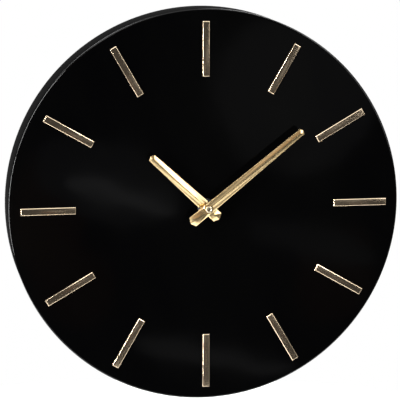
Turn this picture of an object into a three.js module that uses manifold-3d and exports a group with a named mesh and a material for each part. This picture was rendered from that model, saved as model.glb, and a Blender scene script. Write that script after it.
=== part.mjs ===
// A battery wall clock, built as the pieces it comes apart into on a bench.
// Millimetres, +Z up. The dial faces -Y and the wall is the plane y = 0. The origin is the
// point where the clock hangs: the middle of the round end of the keyhole slot.
import * as THREE from "three";
import { ConvexGeometry } from "three/addons/geometries/ConvexGeometry.js";
import { mergeVertices } from "three/addons/utils/BufferGeometryUtils.js";
import Module from "manifold-3d";

const wasm = await Module();
wasm.setup();

// ---------------------------------------------------------------- driving sizes

// case: one shallow pan of pressed steel sheet, with its rim turned in at the back
const CASE_RADIUS = 190;
const CASE_DEPTH = 40;
const SHEET = 0.8;
const CORNER_RADIUS = 1.8;
const LIP_WIDTH = 8;
const CASE_FACETS = 72;

// hour markers: polished bars, each on two studs that pass through the dial
const MARKER_EDGE_MARGIN = 11.8;
const MARKER_LENGTH = 52.5;
const MARKER_WIDTH = 6.8;
const MARKER_HEIGHT = 2;
const MARKER_CHAMFER = 0.55;
const STUD_RADIUS = 0.8;
const STUD_INSET = 9;
const STUD_PROTRUSION = 1.6;

// hanger: a steel plate welded inside the lip, with a keyhole
const HANGER_WIDTH = 44;
const HANGER_SHEET = 1.2;
const HANGER_DROP = 39;
const KEYHOLE_ENTRY_RADIUS = 5;
const KEYHOLE_SLOT_RADIUS = 2.5;
const KEYHOLE_TRAVEL = 9;
const KEYHOLE_BELOW_RIM = 17.2;

// hands: folded aluminium sheet with a ridge down the middle
const HAND_SHEET = 0.5;
const HAND_SLOPE = 0.27;
const MINUTE_LENGTH = 118;
const MINUTE_TAIL = 21.9;
const MINUTE_TAIL_WIDTH = 10.8;
const MINUTE_TIP_WIDTH = 6.3;
const HOUR_LENGTH = 75.4;
const HOUR_TAIL = 15.6;
const HOUR_TAIL_WIDTH = 10.9;
const HOUR_TIP_WIDTH = 7.4;
const HOUR_HAND_LIFT = 10;
const MINUTE_HAND_LIFT = 14;
const MINUTE_AT_REST = 51.4;
const HOUR_AT_REST = -46.9;
const HAND_POINT_SHARE = 0.24;
const HAND_HIP_SHARE = 0.62;
const HAND_BOSS_SHARE = 0.44;
const COLLET_WALL = 0.7;
const COLLET_FLANGE = 1.6;
const COLLET_SKIRT = 2;

// shafts, from the middle outwards
const SECONDS_ARBOR_RADIUS = 0.45;
const MINUTE_ARBOR_RADIUS = 1.6;
const HOUR_PIPE_WALL = 0.6;
const BUSHING_WALL = 1.1;
const BUSHING_REACH = 7.5;
const HOUR_PIPE_REACH = 12.6;
const NUT_HEIGHT = 3;
const NUT_WALL = 1.45;
const NUT_EDGE = 0.4;
const ARBOR_BELOW_NUT_TOP = 1.1;
const SECONDS_BELOW_ARBOR_TOP = 2;

// fixing of the movement to the dial
const GASKET_SHEET = 0.6;
const GASKET_RADIUS = 15;
const WASHER_SHEET = 0.5;
const WASHER_RADIUS = 8;
const FIXING_NUT_HEIGHT = 2;
const FIXING_NUT_ACROSS_FLATS = 12.6;

// battery, one AA cell lying along X
const BATTERY_DIAMETER = 14.5;
const BATTERY_LENGTH = 50.5;
const BATTERY_NUB_RADIUS = 2.75;
const BATTERY_NUB_LENGTH = 1.2;
const BATTERY_BEVEL = 0.5;

// movement housing
const FRONT_WALL = 1;
const SIDE_WALL = 1.4;
const COVER_SHEET = 1.2;
const PARTITION = 1.2;
const BATTERY_ROOM = 0.35;
const BATTERY_END_ROOM = 1.35;
const CHAMBER_HEAD_ROOM = 6.5;
const THUMB_NOTCH_RADIUS = 6.5;
const THUMB_NOTCH_REACH = 4;
const PILLAR_RADIUS = 1.1;
const BRIDGE_SHEET = 0.8;
const BRIDGE_ROOM_BELOW = 0.8;
const BRIDGE_ROOM_ABOVE = 1.4;

// gear train: distance between the centres of each meshing pair, the angle of that line
// anticlockwise from +X, and the teeth
const MOTION_DISTANCE = 10;
const THIRD_DISTANCE = 10.5;
const STEP_DISTANCE = 9.45;
const ROTOR_DISTANCE = 7.2;
const MOTION_ANGLE = 150;
const KNOB_ANGLE = 180;
const THIRD_ANGLE = 90;
const STEP_ANGLE = 20;
const ROTOR_ANGLE = 19;
const TEETH = {
  cannonPinion: 8,
  motionWheel: 24,
  motionPinion: 8,
  hourWheel: 32,
  knobPinion: 8,
  secondsPinion: 6,
  thirdWheel: 45,
  thirdPinion: 6,
  centreWheel: 48,
  stepPinion: 6,
  secondsWheel: 36,
  rotorPinion: 6,
  stepWheel: 30,
};
const ADDENDUM = 0.82;
const DEDENDUM = 1.2;
const ROOT_SHARE = 0.24;
const TIP_SHARE = 0.1;
const WHEEL_THICKNESS = 1.2;
const MOTION_POST_RADIUS = 0.7;
const SECONDS_HUB_RADIUS = 1.2;
const PIVOT_RADIUS = 0.4;
const PIVOT_LENGTH = 0.9;
const PIVOT_WALL = 0.8;

// clearances
const SEAT_GAP = 0.15;
const RUNNING_GAP = 0.3;
const SIDE_GAP = 0.4;
const PIPE_EXTRA_GAP = 0.1;
const BRIDGE_EXTRA_GAP = 0.2;

// joining and cutting: how far a foot or a root runs into what it is one piece with, and how
// far a cutter runs past the face it opens
const FOOT = 0.2;
const ROOT = 0.5;
const PAST = 1;

// flats round a circle, from the smallest rods to the largest discs
const FLATS = { stud: 8, pivot: 12, shaft: 16, pipe: 20, disc: 24, ring: 28 };

// setting knob
const KNOB_RADIUS = 7;
const KNOB_HEIGHT = 2.8;
const KNOB_RIBS = 20;
const KNOB_RIB_DEPTH = 0.6;
const KNOB_RIM = 1.8;
const KNOB_DISH_DEPTH = 0.8;
const KNOB_BAR_WIDTH = 1.6;
const KNOB_BAR_DEPTH = 1;
const KNOB_SHAFT_RADIUS = 1;

// stepping motor
const MAGNET_RADIUS = 2.4;
const MAGNET_LENGTH = 1.4;
const STATOR_SHEET = 1;
const STATOR_WIDTH = 6.2;
const COIL_LENGTH = 21;
const COIL_RADIUS = 3.4;
const BOBBIN_TUBE_RADIUS = 2.2;
const CORE_WIDTH = 2.4;
const FLANGE = 0.8;
const ARM_REACH = 2.6;
const COIL_OFFSET = 1;
const STATOR_OFFSET = 0.1;

// circuit
const BOARD_SHEET = 0.8;
const BOARD_WIDTH = 11.4;
const BOARD_HEIGHT = 16;
const CONTACT_SHEET = 0.4;
const CONTACT_STRIP = 5;
const CONTACT_LEG_INSET = 1.6;
const CONTACT_ROOM = 0.15;
const DIMPLE_ROOT = 0.05;
const POSITIVE_DIMPLE = [0.8, 1.6];
const NEGATIVE_DIMPLE = [1.2, 2.3];
const BOARD_POST_INSET = 2;
const CRYSTAL_RADIUS = 1;
const CRYSTAL_LENGTH = 6;
const CRYSTAL_INSET = [2.4, 2];
const CHIP_RADIUS = 2.6;
const CHIP_HEIGHT = 1;
const CHIP_INSET = [4.2, 5];

// ---------------------------------------------------------------- solids and meshes

/** The solid that a closed geometry bounds. */
function solidOf(geometry) {
  const bare = geometry.index ? geometry.toNonIndexed() : geometry.clone();
  bare.deleteAttribute("normal");
  bare.deleteAttribute("uv");
  const merged = mergeVertices(bare, 1e-4);
  const corners = merged.index.array;
  const kept = [];
  for (let i = 0; i < corners.length; i += 3) {
    const [a, b, c] = corners.slice(i, i + 3);
    if (a !== b && b !== c && c !== a) kept.push(a, b, c);
  }
  const mesh = new wasm.Mesh({
    numProp: 3,
    vertProperties: merged.attributes.position.array,
    triVerts: new Uint32Array(kept),
  });
  return new wasm.Manifold(mesh);
}

/** The outer surface of a solid, with flat faces. */
function geometryOf(solid) {
  const made = solid.getMesh();
  const geometry = new THREE.BufferGeometry();
  const places = new THREE.BufferAttribute(made.vertProperties, 3);
  geometry.setAttribute("position", places);
  geometry.setIndex(new THREE.BufferAttribute(made.triVerts, 1));
  const flat = geometry.toNonIndexed();
  flat.computeVertexNormals();
  return flat;
}

/** The solids joined into one. */
function join(...solids) {
  return solids.reduce((whole, next) => whole.add(next));
}

/** A block between two corners. */
function block([x0, y0, z0], [x1, y1, z1]) {
  const geometry = new THREE.BoxGeometry(x1 - x0, y1 - y0, z1 - z0);
  geometry.translate((x0 + x1) / 2, (y0 + y1) / 2, (z0 + z1) / 2);
  return solidOf(geometry);
}

/** A round rod along Y from y0 to y1, centred on (x, z). */
function rod(radius, y0, y1, [x, z] = [0, 0], facets = FLATS.pipe) {
  const geometry = new THREE.CylinderGeometry(radius, radius, y1 - y0, facets);
  geometry.translate(x, (y0 + y1) / 2, z);
  return solidOf(geometry);
}

/** A tube along Y from y0 to y1, centred on (x, z). */
function tube(inner, outer, y0, y1, [x, z] = [0, 0], facets = FLATS.pipe) {
  const ends = [
    [inner, y0],
    [outer, y0],
    [outer, y1],
    [inner, y1],
    [inner, y0],
  ];
  return turned(ends, facets).translate([x, 0, z]);
}

/** A solid turned round the Y axis from a profile of [radius, y] points. */
function turned(profile, facets) {
  const points = profile.map(([radius, y]) => new THREE.Vector2(radius, y));
  return solidOf(new THREE.LatheGeometry(points, facets));
}

/** An outline of [x, z] points, with holes, given thickness along Y from y0 to y1. */
function plate(outline, y0, y1, holes = []) {
  const shape = new THREE.Shape(outline.map(([x, z]) => new THREE.Vector2(x, z)));
  for (const hole of holes) {
    shape.holes.push(new THREE.Path(hole.map(([x, z]) => new THREE.Vector2(x, z))));
  }
  const geometry = new THREE.ExtrudeGeometry(shape, {
    depth: y1 - y0,
    bevelEnabled: false,
    curveSegments: 1,
  });
  geometry.rotateX(Math.PI / 2);
  geometry.translate(0, y1, 0);
  return solidOf(geometry);
}

/** The [x, z] points of a circle. */
function circle(radius, [x, z] = [0, 0], facets = FLATS.pipe) {
  return Array.from({ length: facets }, (_, i) => {
    const turn = (2 * Math.PI * i) / facets;
    return [x + radius * Math.cos(turn), z + radius * Math.sin(turn)];
  });
}

/** The [x, z] corners of a rectangle. */
function rectangle(x0, x1, z0, z1) {
  return [
    [x0, z0],
    [x1, z0],
    [x1, z1],
    [x0, z1],
  ];
}

/** The outline of a flat strip whose middle line runs along level and upright stretches. */
function stripOutline(line, thickness) {
  const half = thickness / 2;
  const side = (sign) =>
    line.map(([x, z], i) => {
      const from = line[Math.max(i - 1, 0)];
      const to = line[Math.min(i + 1, line.length - 1)];
      const before = i === 0 ? [to[0] - x, to[1] - z] : [x - from[0], z - from[1]];
      const after = i === line.length - 1 ? before : [to[0] - x, to[1] - z];
      const unit = ([u, v]) => [Math.sign(u), Math.sign(v)];
      const [[bu, bv], [au, av]] = [unit(before), unit(after)];
      const straight = bu === au && bv === av;
      const shiftX = straight ? -bv : -bv - av;
      const shiftZ = straight ? bu : bu + au;
      return [x + sign * half * shiftX, z + sign * half * shiftZ];
    });
  return [...side(1), ...side(-1).reverse()];
}

const clock = new THREE.Group();
const dialFrame = new THREE.Group();
clock.add(dialFrame);

/** Adds one named piece, with its own finish, to the clock. */
function piece(name, solid, [color, roughness, metalness]) {
  const material = new THREE.MeshStandardMaterial({ color, roughness, metalness });
  const mesh = new THREE.Mesh(geometryOf(solid), material);
  mesh.name = name;
  dialFrame.add(mesh);
  return mesh;
}

const FINISH = {
  blackLacquer: [0x0c0c0e, 0.35, 0.2],
  polishedGold: [0xc9a66a, 0.15, 1],
  satinGold: [0xd9b483, 0.3, 1],
  brass: [0xc7a24e, 0.3, 1],
  zincSteel: [0xb8bcc0, 0.4, 1],
  blackPlastic: [0x151517, 0.5, 0],
  greyPlastic: [0x8d9094, 0.5, 0],
  whitePlastic: [0xe6e4de, 0.45, 0],
  rubber: [0x1c1c1c, 0.9, 0],
  copper: [0xb4653a, 0.35, 1],
  green: [0x2c6b46, 0.5, 0],
  batteryLabel: [0x2b4a7a, 0.4, 0.1],
};

// ---------------------------------------------------------------- depths along Y

const dialFront = -CASE_DEPTH;
const dialBack = dialFront + SHEET;
const movementFront = dialBack + GASKET_SHEET;
const chamberFront = movementFront + FRONT_WALL;
const batteryAxisY = chamberFront + BATTERY_ROOM / 2 + BATTERY_DIAMETER / 2;
const movementBack = batteryAxisY + BATTERY_DIAMETER / 2 + BATTERY_ROOM;
const coverInner = movementBack - COVER_SHEET;

/** The y of a layer of the train, so many millimetres behind the chamber's front wall. */
function layer(depth) {
  return chamberFront + depth;
}

const HOUR_LAYER = layer(SIDE_GAP);
const CANNON_LAYER = HOUR_LAYER + WHEEL_THICKNESS + SIDE_GAP;
const CENTRE_LAYER = CANNON_LAYER + WHEEL_THICKNESS + SIDE_GAP;
const THIRD_LAYER = CENTRE_LAYER + WHEEL_THICKNESS + SIDE_GAP;
const BRIDGE_LAYER = THIRD_LAYER + WHEEL_THICKNESS + SIDE_GAP;
const SECONDS_LAYER = BRIDGE_LAYER + BRIDGE_SHEET + SIDE_GAP;
const STEP_LAYER = SECONDS_LAYER + WHEEL_THICKNESS + SIDE_GAP;

// ---------------------------------------------------------------- gear train

/** Size of the teeth of a meshing pair, from their distance and numbers of teeth. */
function moduleOf(distance, teethA, teethB) {
  return (2 * distance) / (teethA + teethB);
}

/** Outline of a wheel, with a tooth centred on the angle phase. */
function gearOutline(teeth, module, [x, z], phase) {
  const pitch = (2 * Math.PI) / teeth;
  const pitchRadius = (module * teeth) / 2;
  const tip = pitchRadius + ADDENDUM * module;
  const root = pitchRadius - DEDENDUM * module;
  const points = [];
  for (let i = 0; i < teeth; i += 1) {
    const middle = phase + i * pitch;
    const flank = [
      [root, -ROOT_SHARE],
      [tip, -TIP_SHARE],
      [tip, TIP_SHARE],
      [root, ROOT_SHARE],
    ];
    for (const [radius, share] of flank) {
      const turn = middle + share * pitch;
      points.push([x + radius * Math.cos(turn), z + radius * Math.sin(turn)]);
    }
  }
  return points;
}

/** Phase that puts a wheel's gaps where its partner's teeth come across the line of centres. */
function meshingPhase(partner, place, teeth) {
  const line = Math.atan2(place[1] - partner.place[1], place[0] - partner.place[0]);
  const past = ((line - partner.phase) * partner.teeth) / (2 * Math.PI);
  return line + Math.PI - ((0.5 - past) * 2 * Math.PI) / teeth;
}

/** A point at a distance and angle from another, in the plane of the dial. */
function away([x, z], distance, degrees) {
  const turn = THREE.MathUtils.degToRad(degrees);
  return [x + distance * Math.cos(turn), z + distance * Math.sin(turn)];
}

const AXIS = [0, 0];
const motionPlace = away(AXIS, MOTION_DISTANCE, MOTION_ANGLE);
const knobPlace = away(motionPlace, MOTION_DISTANCE, KNOB_ANGLE);
const thirdPlace = away(AXIS, THIRD_DISTANCE, THIRD_ANGLE);
const stepPlace = away(AXIS, STEP_DISTANCE, STEP_ANGLE);
const rotorPlace = away(stepPlace, ROTOR_DISTANCE, ROTOR_ANGLE);

/** A toothed wheel or pinion: its place, phase, size of teeth and outline. */
function gear(teeth, module, place, partner) {
  const phase = partner ? meshingPhase(partner, place, teeth) : 0;
  const outline = gearOutline(teeth, module, place, phase);
  return { teeth, module, place, phase, outline, tip: module * (teeth / 2 + ADDENDUM) };
}

const T = TEETH;
const cannonModule = moduleOf(MOTION_DISTANCE, T.cannonPinion, T.motionWheel);
const hourModule = moduleOf(MOTION_DISTANCE, T.motionPinion, T.hourWheel);
const thirdModule = moduleOf(THIRD_DISTANCE, T.secondsPinion, T.thirdWheel);
const centreModule = moduleOf(THIRD_DISTANCE, T.thirdPinion, T.centreWheel);
const stepModule = moduleOf(STEP_DISTANCE, T.stepPinion, T.secondsWheel);
const rotorModule = moduleOf(ROTOR_DISTANCE, T.rotorPinion, T.stepWheel);

const cannonPinion = gear(T.cannonPinion, cannonModule, AXIS);
const motionWheel = gear(T.motionWheel, cannonModule, motionPlace, cannonPinion);
const knobPinion = gear(T.knobPinion, cannonModule, knobPlace, motionWheel);
const motionPinion = gear(T.motionPinion, hourModule, motionPlace);
const hourWheel = gear(T.hourWheel, hourModule, AXIS, motionPinion);
const secondsPinion = gear(T.secondsPinion, thirdModule, AXIS);
const thirdWheel = gear(T.thirdWheel, thirdModule, thirdPlace, secondsPinion);
const thirdPinion = gear(T.thirdPinion, centreModule, thirdPlace);
const centreWheel = gear(T.centreWheel, centreModule, AXIS, thirdPinion);
const secondsWheel = gear(T.secondsWheel, stepModule, AXIS);
const stepPinion = gear(T.stepPinion, stepModule, stepPlace, secondsWheel);
const stepWheel = gear(T.stepWheel, rotorModule, stepPlace);
const rotorPinion = gear(T.rotorPinion, rotorModule, rotorPlace, stepWheel);

// ---------------------------------------------------------------- extents of the movement

const pillarInset = PILLAR_RADIUS + RUNNING_GAP;
const bridgeLeft = -(thirdWheel.tip + 2 * PILLAR_RADIUS + 4 * RUNNING_GAP);
const bridgeRight = rotorPlace[0] + MAGNET_RADIUS;
const boardRight = bridgeLeft - RUNNING_GAP;
const boardLeft = boardRight - BOARD_WIDTH;
const coilX = rotorPlace[0] + STATOR_WIDTH / 2 + COIL_RADIUS + 2 * RUNNING_GAP;

// the chamber is as wide as the widest of the battery, the board and the coil asks
const chamberHalfWidth = Math.max(
  BATTERY_LENGTH / 2 + BATTERY_END_ROOM,
  RUNNING_GAP - boardLeft,
  RUNNING_GAP + coilX + COIL_RADIUS,
);
const movementHalfWidth = chamberHalfWidth + SIDE_WALL;
const batteryEndRoom = chamberHalfWidth - BATTERY_LENGTH / 2;
const chamberFloor = -(centreWheel.tip + 2 * RUNNING_GAP);
const chamberTop = thirdPlace[1] + thirdWheel.tip + CHAMBER_HEAD_ROOM;
const movementTop = chamberTop + SIDE_WALL;
const bayTop = chamberFloor - PARTITION;
const batteryAxisZ = bayTop - BATTERY_ROOM - BATTERY_DIAMETER / 2;
const bayFloor = batteryAxisZ - BATTERY_DIAMETER / 2 - BATTERY_ROOM;
const movementBottom = bayFloor - SIDE_WALL;

// radii of the nested shafts
const secondsBore = SECONDS_ARBOR_RADIUS + RUNNING_GAP;
const hourBore = MINUTE_ARBOR_RADIUS + RUNNING_GAP;
const hourPipeRadius = hourBore + HOUR_PIPE_WALL;
const bushingBore = hourPipeRadius + RUNNING_GAP + PIPE_EXTRA_GAP;
const bushingRadius = bushingBore + BUSHING_WALL;
const fixingHoleRadius = bushingRadius + RUNNING_GAP;

// fronts of what stands out of the dial
const bushingFront = dialFront - BUSHING_REACH;
const hourPipeFront = dialFront - HOUR_PIPE_REACH;
const minuteHandBack = dialFront - MINUTE_HAND_LIFT;
const nutSeat = minuteHandBack - 2 * HAND_SHEET;
const nutFront = nutSeat - NUT_HEIGHT;
const arborFront = nutFront + ARBOR_BELOW_NUT_TOP;

// ---------------------------------------------------------------- case

/** Points of a quarter circle about [radius, y], from one angle to another in degrees. */
function corner([radius, y], size, from, to, steps = 4) {
  return Array.from({ length: steps + 1 }, (_, i) => {
    const turn = THREE.MathUtils.degToRad(from + ((to - from) * i) / steps);
    return [radius + size * Math.cos(turn), y + size * Math.sin(turn)];
  });
}

/** Places of the studs of one marker, as distances from the dial's middle. */
function studDistances() {
  const outer = CASE_RADIUS - MARKER_EDGE_MARGIN;
  return [outer - MARKER_LENGTH + STUD_INSET, outer - STUD_INSET];
}

/** The clock angle of an hour as degrees turned from +X towards +Z. */
function hourAngle(hour) {
  return 90 - 30 * hour;
}

function dialCase() {
  const mid = CASE_RADIUS - CORNER_RADIUS;
  const innerCorner = CORNER_RADIUS - SHEET;
  const lipRadius = CASE_RADIUS - SHEET - LIP_WIDTH;
  const frontCentre = [mid, dialFront + CORNER_RADIUS];
  const backCentre = [mid, -CORNER_RADIUS];
  const profile = [
    [lipRadius, 0],
    [lipRadius, -SHEET],
    ...corner(backCentre, innerCorner, 90, 0, 2),
    ...corner(frontCentre, innerCorner, 0, -90, 2),
    [fixingHoleRadius, dialBack],
    [fixingHoleRadius, dialFront],
    ...corner(frontCentre, CORNER_RADIUS, -90, 0),
    ...corner(backCentre, CORNER_RADIUS, 0, 90),
    [lipRadius, 0],
  ];
  const studHole = STUD_RADIUS + RUNNING_GAP;
  let pan = turned(profile, CASE_FACETS);
  for (let hour = 1; hour <= 12; hour += 1) {
    for (const distance of studDistances()) {
      const place = away(AXIS, distance, hourAngle(hour));
      pan = pan.subtract(rod(studHole, dialFront - PAST, dialBack + PAST, place, FLATS.stud));
    }
  }
  return pan;
}

/** A bar lying along +Z with chamfered top edges, and its two studs. */
function hourMarker(hour) {
  const outer = CASE_RADIUS - MARKER_EDGE_MARGIN;
  const inner = outer - MARKER_LENGTH;
  const half = MARKER_WIDTH / 2;
  const top = dialFront - MARKER_HEIGHT;
  const points = [];
  const steps = [
    [0, dialFront],
    [0, top + MARKER_CHAMFER],
    [MARKER_CHAMFER, top],
  ];
  for (const [inset, y] of steps) {
    for (const x of [inset - half, half - inset]) {
      points.push(new THREE.Vector3(x, y, inner + inset));
      points.push(new THREE.Vector3(x, y, outer - inset));
    }
  }
  let marker = solidOf(new ConvexGeometry(points));
  const studEnd = dialBack + STUD_PROTRUSION;
  for (const distance of studDistances()) {
    const stud = rod(STUD_RADIUS, top + MARKER_CHAMFER, studEnd, [0, distance], FLATS.stud);
    marker = marker.add(stud);
  }
  return marker.rotate([0, 30 * hour, 0]);
}

function hangerPlate() {
  const back = -SHEET;
  const front = back - HANGER_SHEET;
  const half = HANGER_WIDTH / 2;
  const reach = CASE_RADIUS - CORNER_RADIUS - RUNNING_GAP;
  const top = Math.sqrt(reach ** 2 - half ** 2);
  const slotTop = CASE_RADIUS - KEYHOLE_BELOW_RIM;
  const entry = slotTop - KEYHOLE_TRAVEL;
  const sheet = plate(rectangle(-half, half, top - HANGER_DROP, top), front, back);
  const cutFrom = front - PAST;
  const cutTo = back + PAST;
  const slot = KEYHOLE_SLOT_RADIUS;
  const cut = join(
    rod(KEYHOLE_ENTRY_RADIUS, cutFrom, cutTo, [0, entry], FLATS.disc),
    rod(slot, cutFrom, cutTo, [0, slotTop], FLATS.disc),
    block([-slot, cutFrom, entry], [slot, cutTo, slotTop]),
  );
  return sheet.subtract(cut);
}

piece("dial_case", dialCase(), FINISH.blackLacquer);
for (let hour = 1; hour <= 12; hour += 1) {
  const name = `hour_marker_${String(hour).padStart(2, "0")}`;
  piece(name, hourMarker(hour), FINISH.polishedGold);
}
piece("hanger_plate", hangerPlate(), FINISH.zincSteel);

// ---------------------------------------------------------------- hands

/** A hand lying along +Z: folded sheet with a ridge, its underside at the height back. */
function foldedHand(length, tail, tailWidth, tipWidth, back) {
  const widthAt = (z) => tailWidth + ((z + tail) / (length + tail)) * (tipWidth - tailWidth);
  const points = [];
  for (const [end, inward] of [
    [-tail, 1],
    [length, -1],
  ]) {
    const shoulder = end + inward * HAND_POINT_SHARE * widthAt(end);
    const ridge = end + inward * HAND_HIP_SHARE * widthAt(end);
    const half = widthAt(shoulder) / 2;
    for (const y of [back, back - HAND_SHEET]) {
      points.push(new THREE.Vector3(0, y, end));
      points.push(new THREE.Vector3(-half, y, shoulder));
      points.push(new THREE.Vector3(half, y, shoulder));
    }
    const rise = HAND_SLOPE * (widthAt(ridge) / 2);
    points.push(new THREE.Vector3(0, back - HAND_SHEET - rise, ridge));
  }
  const full = solidOf(new ConvexGeometry(points));
  return full.subtract(full.translate([0, HAND_SHEET, 0]));
}

/** The hand with its ridge pressed flat round the shaft, and bored to fit it. */
function boredHand(hand, bossRadius, back, boreRadius) {
  const bossFront = back - 2 * HAND_SHEET;
  const room = 4 * HAND_SHEET;
  const cleared = hand.subtract(rod(bossRadius, bossFront - room, back, AXIS, FLATS.ring));
  const boss = rod(bossRadius, bossFront, back, AXIS, FLATS.ring);
  const bore = rod(boreRadius, bossFront - room, back + room);
  return cleared.add(boss).subtract(bore);
}

const hourHandBack = dialFront - HOUR_HAND_LIFT;
const hourHand = boredHand(
  foldedHand(HOUR_LENGTH, HOUR_TAIL, HOUR_TAIL_WIDTH, HOUR_TIP_WIDTH, hourHandBack),
  HOUR_TAIL_WIDTH * HAND_BOSS_SHARE,
  hourHandBack,
  hourPipeRadius + SEAT_GAP,
);
const minuteHand = boredHand(
  foldedHand(MINUTE_LENGTH, MINUTE_TAIL, MINUTE_TAIL_WIDTH, MINUTE_TIP_WIDTH, minuteHandBack),
  MINUTE_TAIL_WIDTH * HAND_BOSS_SHARE,
  minuteHandBack,
  MINUTE_ARBOR_RADIUS + SEAT_GAP,
);
piece("hour_hand", hourHand.rotate([0, HOUR_AT_REST, 0]), FINISH.satinGold);
piece("minute_hand", minuteHand.rotate([0, MINUTE_AT_REST, 0]), FINISH.satinGold);

/** A collar under the hour hand that grips the hour pipe. */
function hourHandCollet() {
  const bore = hourPipeRadius + SEAT_GAP;
  const skirt = bore + COLLET_WALL;
  const flange = bore + COLLET_FLANGE;
  const flangeBack = hourHandBack + HAND_SHEET;
  const skirtBack = hourHandBack + COLLET_SKIRT;
  const collar = [
    [bore, hourHandBack],
    [flange, hourHandBack],
    [flange, flangeBack],
    [skirt, flangeBack],
    [skirt, skirtBack],
    [bore, skirtBack],
    [bore, hourHandBack],
  ];
  return turned(collar, FLATS.pipe);
}
piece("hour_hand_collet", hourHandCollet(), FINISH.brass);

/** The round open nut that holds the minute hand. */
function handNut() {
  const bore = MINUTE_ARBOR_RADIUS + SEAT_GAP;
  const outer = bore + NUT_WALL;
  const profile = [
    [bore, nutSeat],
    [bore, nutFront + NUT_EDGE],
    [bore + NUT_EDGE, nutFront],
    [outer - NUT_EDGE, nutFront],
    [outer, nutFront + NUT_EDGE],
    [outer, nutSeat],
    [bore, nutSeat],
  ];
  return turned(profile, FLATS.ring);
}
piece("hand_nut", handNut(), FINISH.brass);

// ---------------------------------------------------------------- fixing to the dial

const washerFront = dialFront - WASHER_SHEET;
const NUT_SIDES = 6;
const nutOutline = circle(FIXING_NUT_ACROSS_FLATS / Math.sqrt(3), AXIS, NUT_SIDES);
piece(
  "dial_gasket",
  tube(fixingHoleRadius, GASKET_RADIUS, dialBack, movementFront, AXIS, FLATS.ring),
  FINISH.rubber,
);
piece(
  "fixing_washer",
  tube(fixingHoleRadius, WASHER_RADIUS, washerFront, dialFront, AXIS, FLATS.ring),
  FINISH.blackPlastic,
);
piece(
  "fixing_nut",
  plate(nutOutline, washerFront - FIXING_NUT_HEIGHT, washerFront, [
    circle(bushingRadius + SEAT_GAP),
  ]),
  FINISH.blackPlastic,
);

// ---------------------------------------------------------------- movement housing

const pivotHole = PIVOT_RADIUS + RUNNING_GAP;

/** A short tube on a wall in which a pivot turns. */
function pivotBoss(place, from, to) {
  return tube(pivotHole, pivotHole + PIVOT_WALL, from, to, place, FLATS.pivot);
}

const bridgeBottom = chamberFloor + BRIDGE_ROOM_BELOW;
const bridgeTop = thirdPlace[1] + thirdWheel.tip + BRIDGE_ROOM_ABOVE;
const pillars = [
  [bridgeLeft + pillarInset, bridgeBottom + pillarInset],
  [bridgeRight - pillarInset, bridgeBottom + pillarInset],
  [bridgeLeft + pillarInset, bridgeTop - pillarInset],
  [bridgeRight - pillarInset, bridgeTop - pillarInset],
];

const boardTop = chamberTop - 2 * RUNNING_GAP;
const boardBottom = boardTop - BOARD_HEIGHT;
const boardFront = BRIDGE_LAYER;
const boardPosts = [
  [boardLeft + BOARD_POST_INSET, boardTop - BOARD_POST_INSET],
  [boardRight - BOARD_POST_INSET, boardTop - BOARD_POST_INSET],
  [boardLeft + BOARD_POST_INSET, boardBottom + BOARD_POST_INSET],
];

const contactY = [batteryAxisY - CONTACT_STRIP / 2, batteryAxisY + CONTACT_STRIP / 2];
const contactNotch = CONTACT_SHEET + 2 * RUNNING_GAP;

function movementHousing() {
  const wide = movementHalfWidth;
  const inside = chamberHalfWidth;
  const open = movementBack + PAST;
  const footFront = chamberFront - FOOT;
  const shell = block([-wide, movementFront, movementBottom], [wide, movementBack, movementTop]);
  const chamber = block([-inside, chamberFront, chamberFloor], [inside, open, chamberTop]);
  const coverSeat = block([-wide - PAST, coverInner, bayTop], [wide + PAST, open, movementTop + PAST]);
  const bay = block([-inside, chamberFront, bayFloor], [inside, open, bayTop]);
  const thumbBack = movementBack + THUMB_NOTCH_REACH;
  const thumb = rod(THUMB_NOTCH_RADIUS, batteryAxisY, thumbBack, [0, bayFloor], FLATS.shaft);
  let housing = shell.subtract(chamber).subtract(coverSeat).subtract(bay).subtract(thumb);
  for (const side of [-1, 1]) {
    const outerX = side * inside;
    const innerX = side * (inside - contactNotch);
    const from = [Math.min(outerX, innerX), contactY[0] - RUNNING_GAP, bayTop - PAST];
    const to = [Math.max(outerX, innerX), contactY[1] + RUNNING_GAP, chamberFloor + PAST];
    housing = housing.subtract(block(from, to));
  }
  const bushing = rod(bushingRadius, bushingFront, movementFront + ROOT, AXIS, FLATS.ring);
  housing = join(housing, bushing);
  for (const place of pillars) {
    housing = housing.add(rod(PILLAR_RADIUS, footFront, BRIDGE_LAYER, place, FLATS.pivot));
  }
  for (const place of boardPosts) {
    housing = housing.add(rod(PILLAR_RADIUS, footFront, boardFront, place, FLATS.pivot));
  }
  const postBack = CENTRE_LAYER - SIDE_GAP;
  const motionPost = rod(MOTION_POST_RADIUS, footFront, postBack, motionPlace, FLATS.pivot);
  housing = join(housing, motionPost);
  for (const place of [thirdPlace, knobPlace]) {
    housing = housing.add(pivotBoss(place, footFront, chamberFront + PIVOT_LENGTH));
  }
  const bore = rod(bushingBore, bushingFront - PAST, chamberFront + PAST, AXIS, FLATS.ring);
  return housing.subtract(bore);
}

function movementCover() {
  const wide = movementHalfWidth;
  const outline = rectangle(-wide, wide, bayTop, movementTop);
  const shaftHole = circle(KNOB_SHAFT_RADIUS + RUNNING_GAP, knobPlace);
  let cover = plate(outline, coverInner, movementBack, [shaftHole]);
  for (const place of [AXIS, stepPlace, rotorPlace]) {
    cover = cover.add(pivotBoss(place, coverInner - PIVOT_LENGTH, coverInner + FOOT));
  }
  return cover;
}

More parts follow.
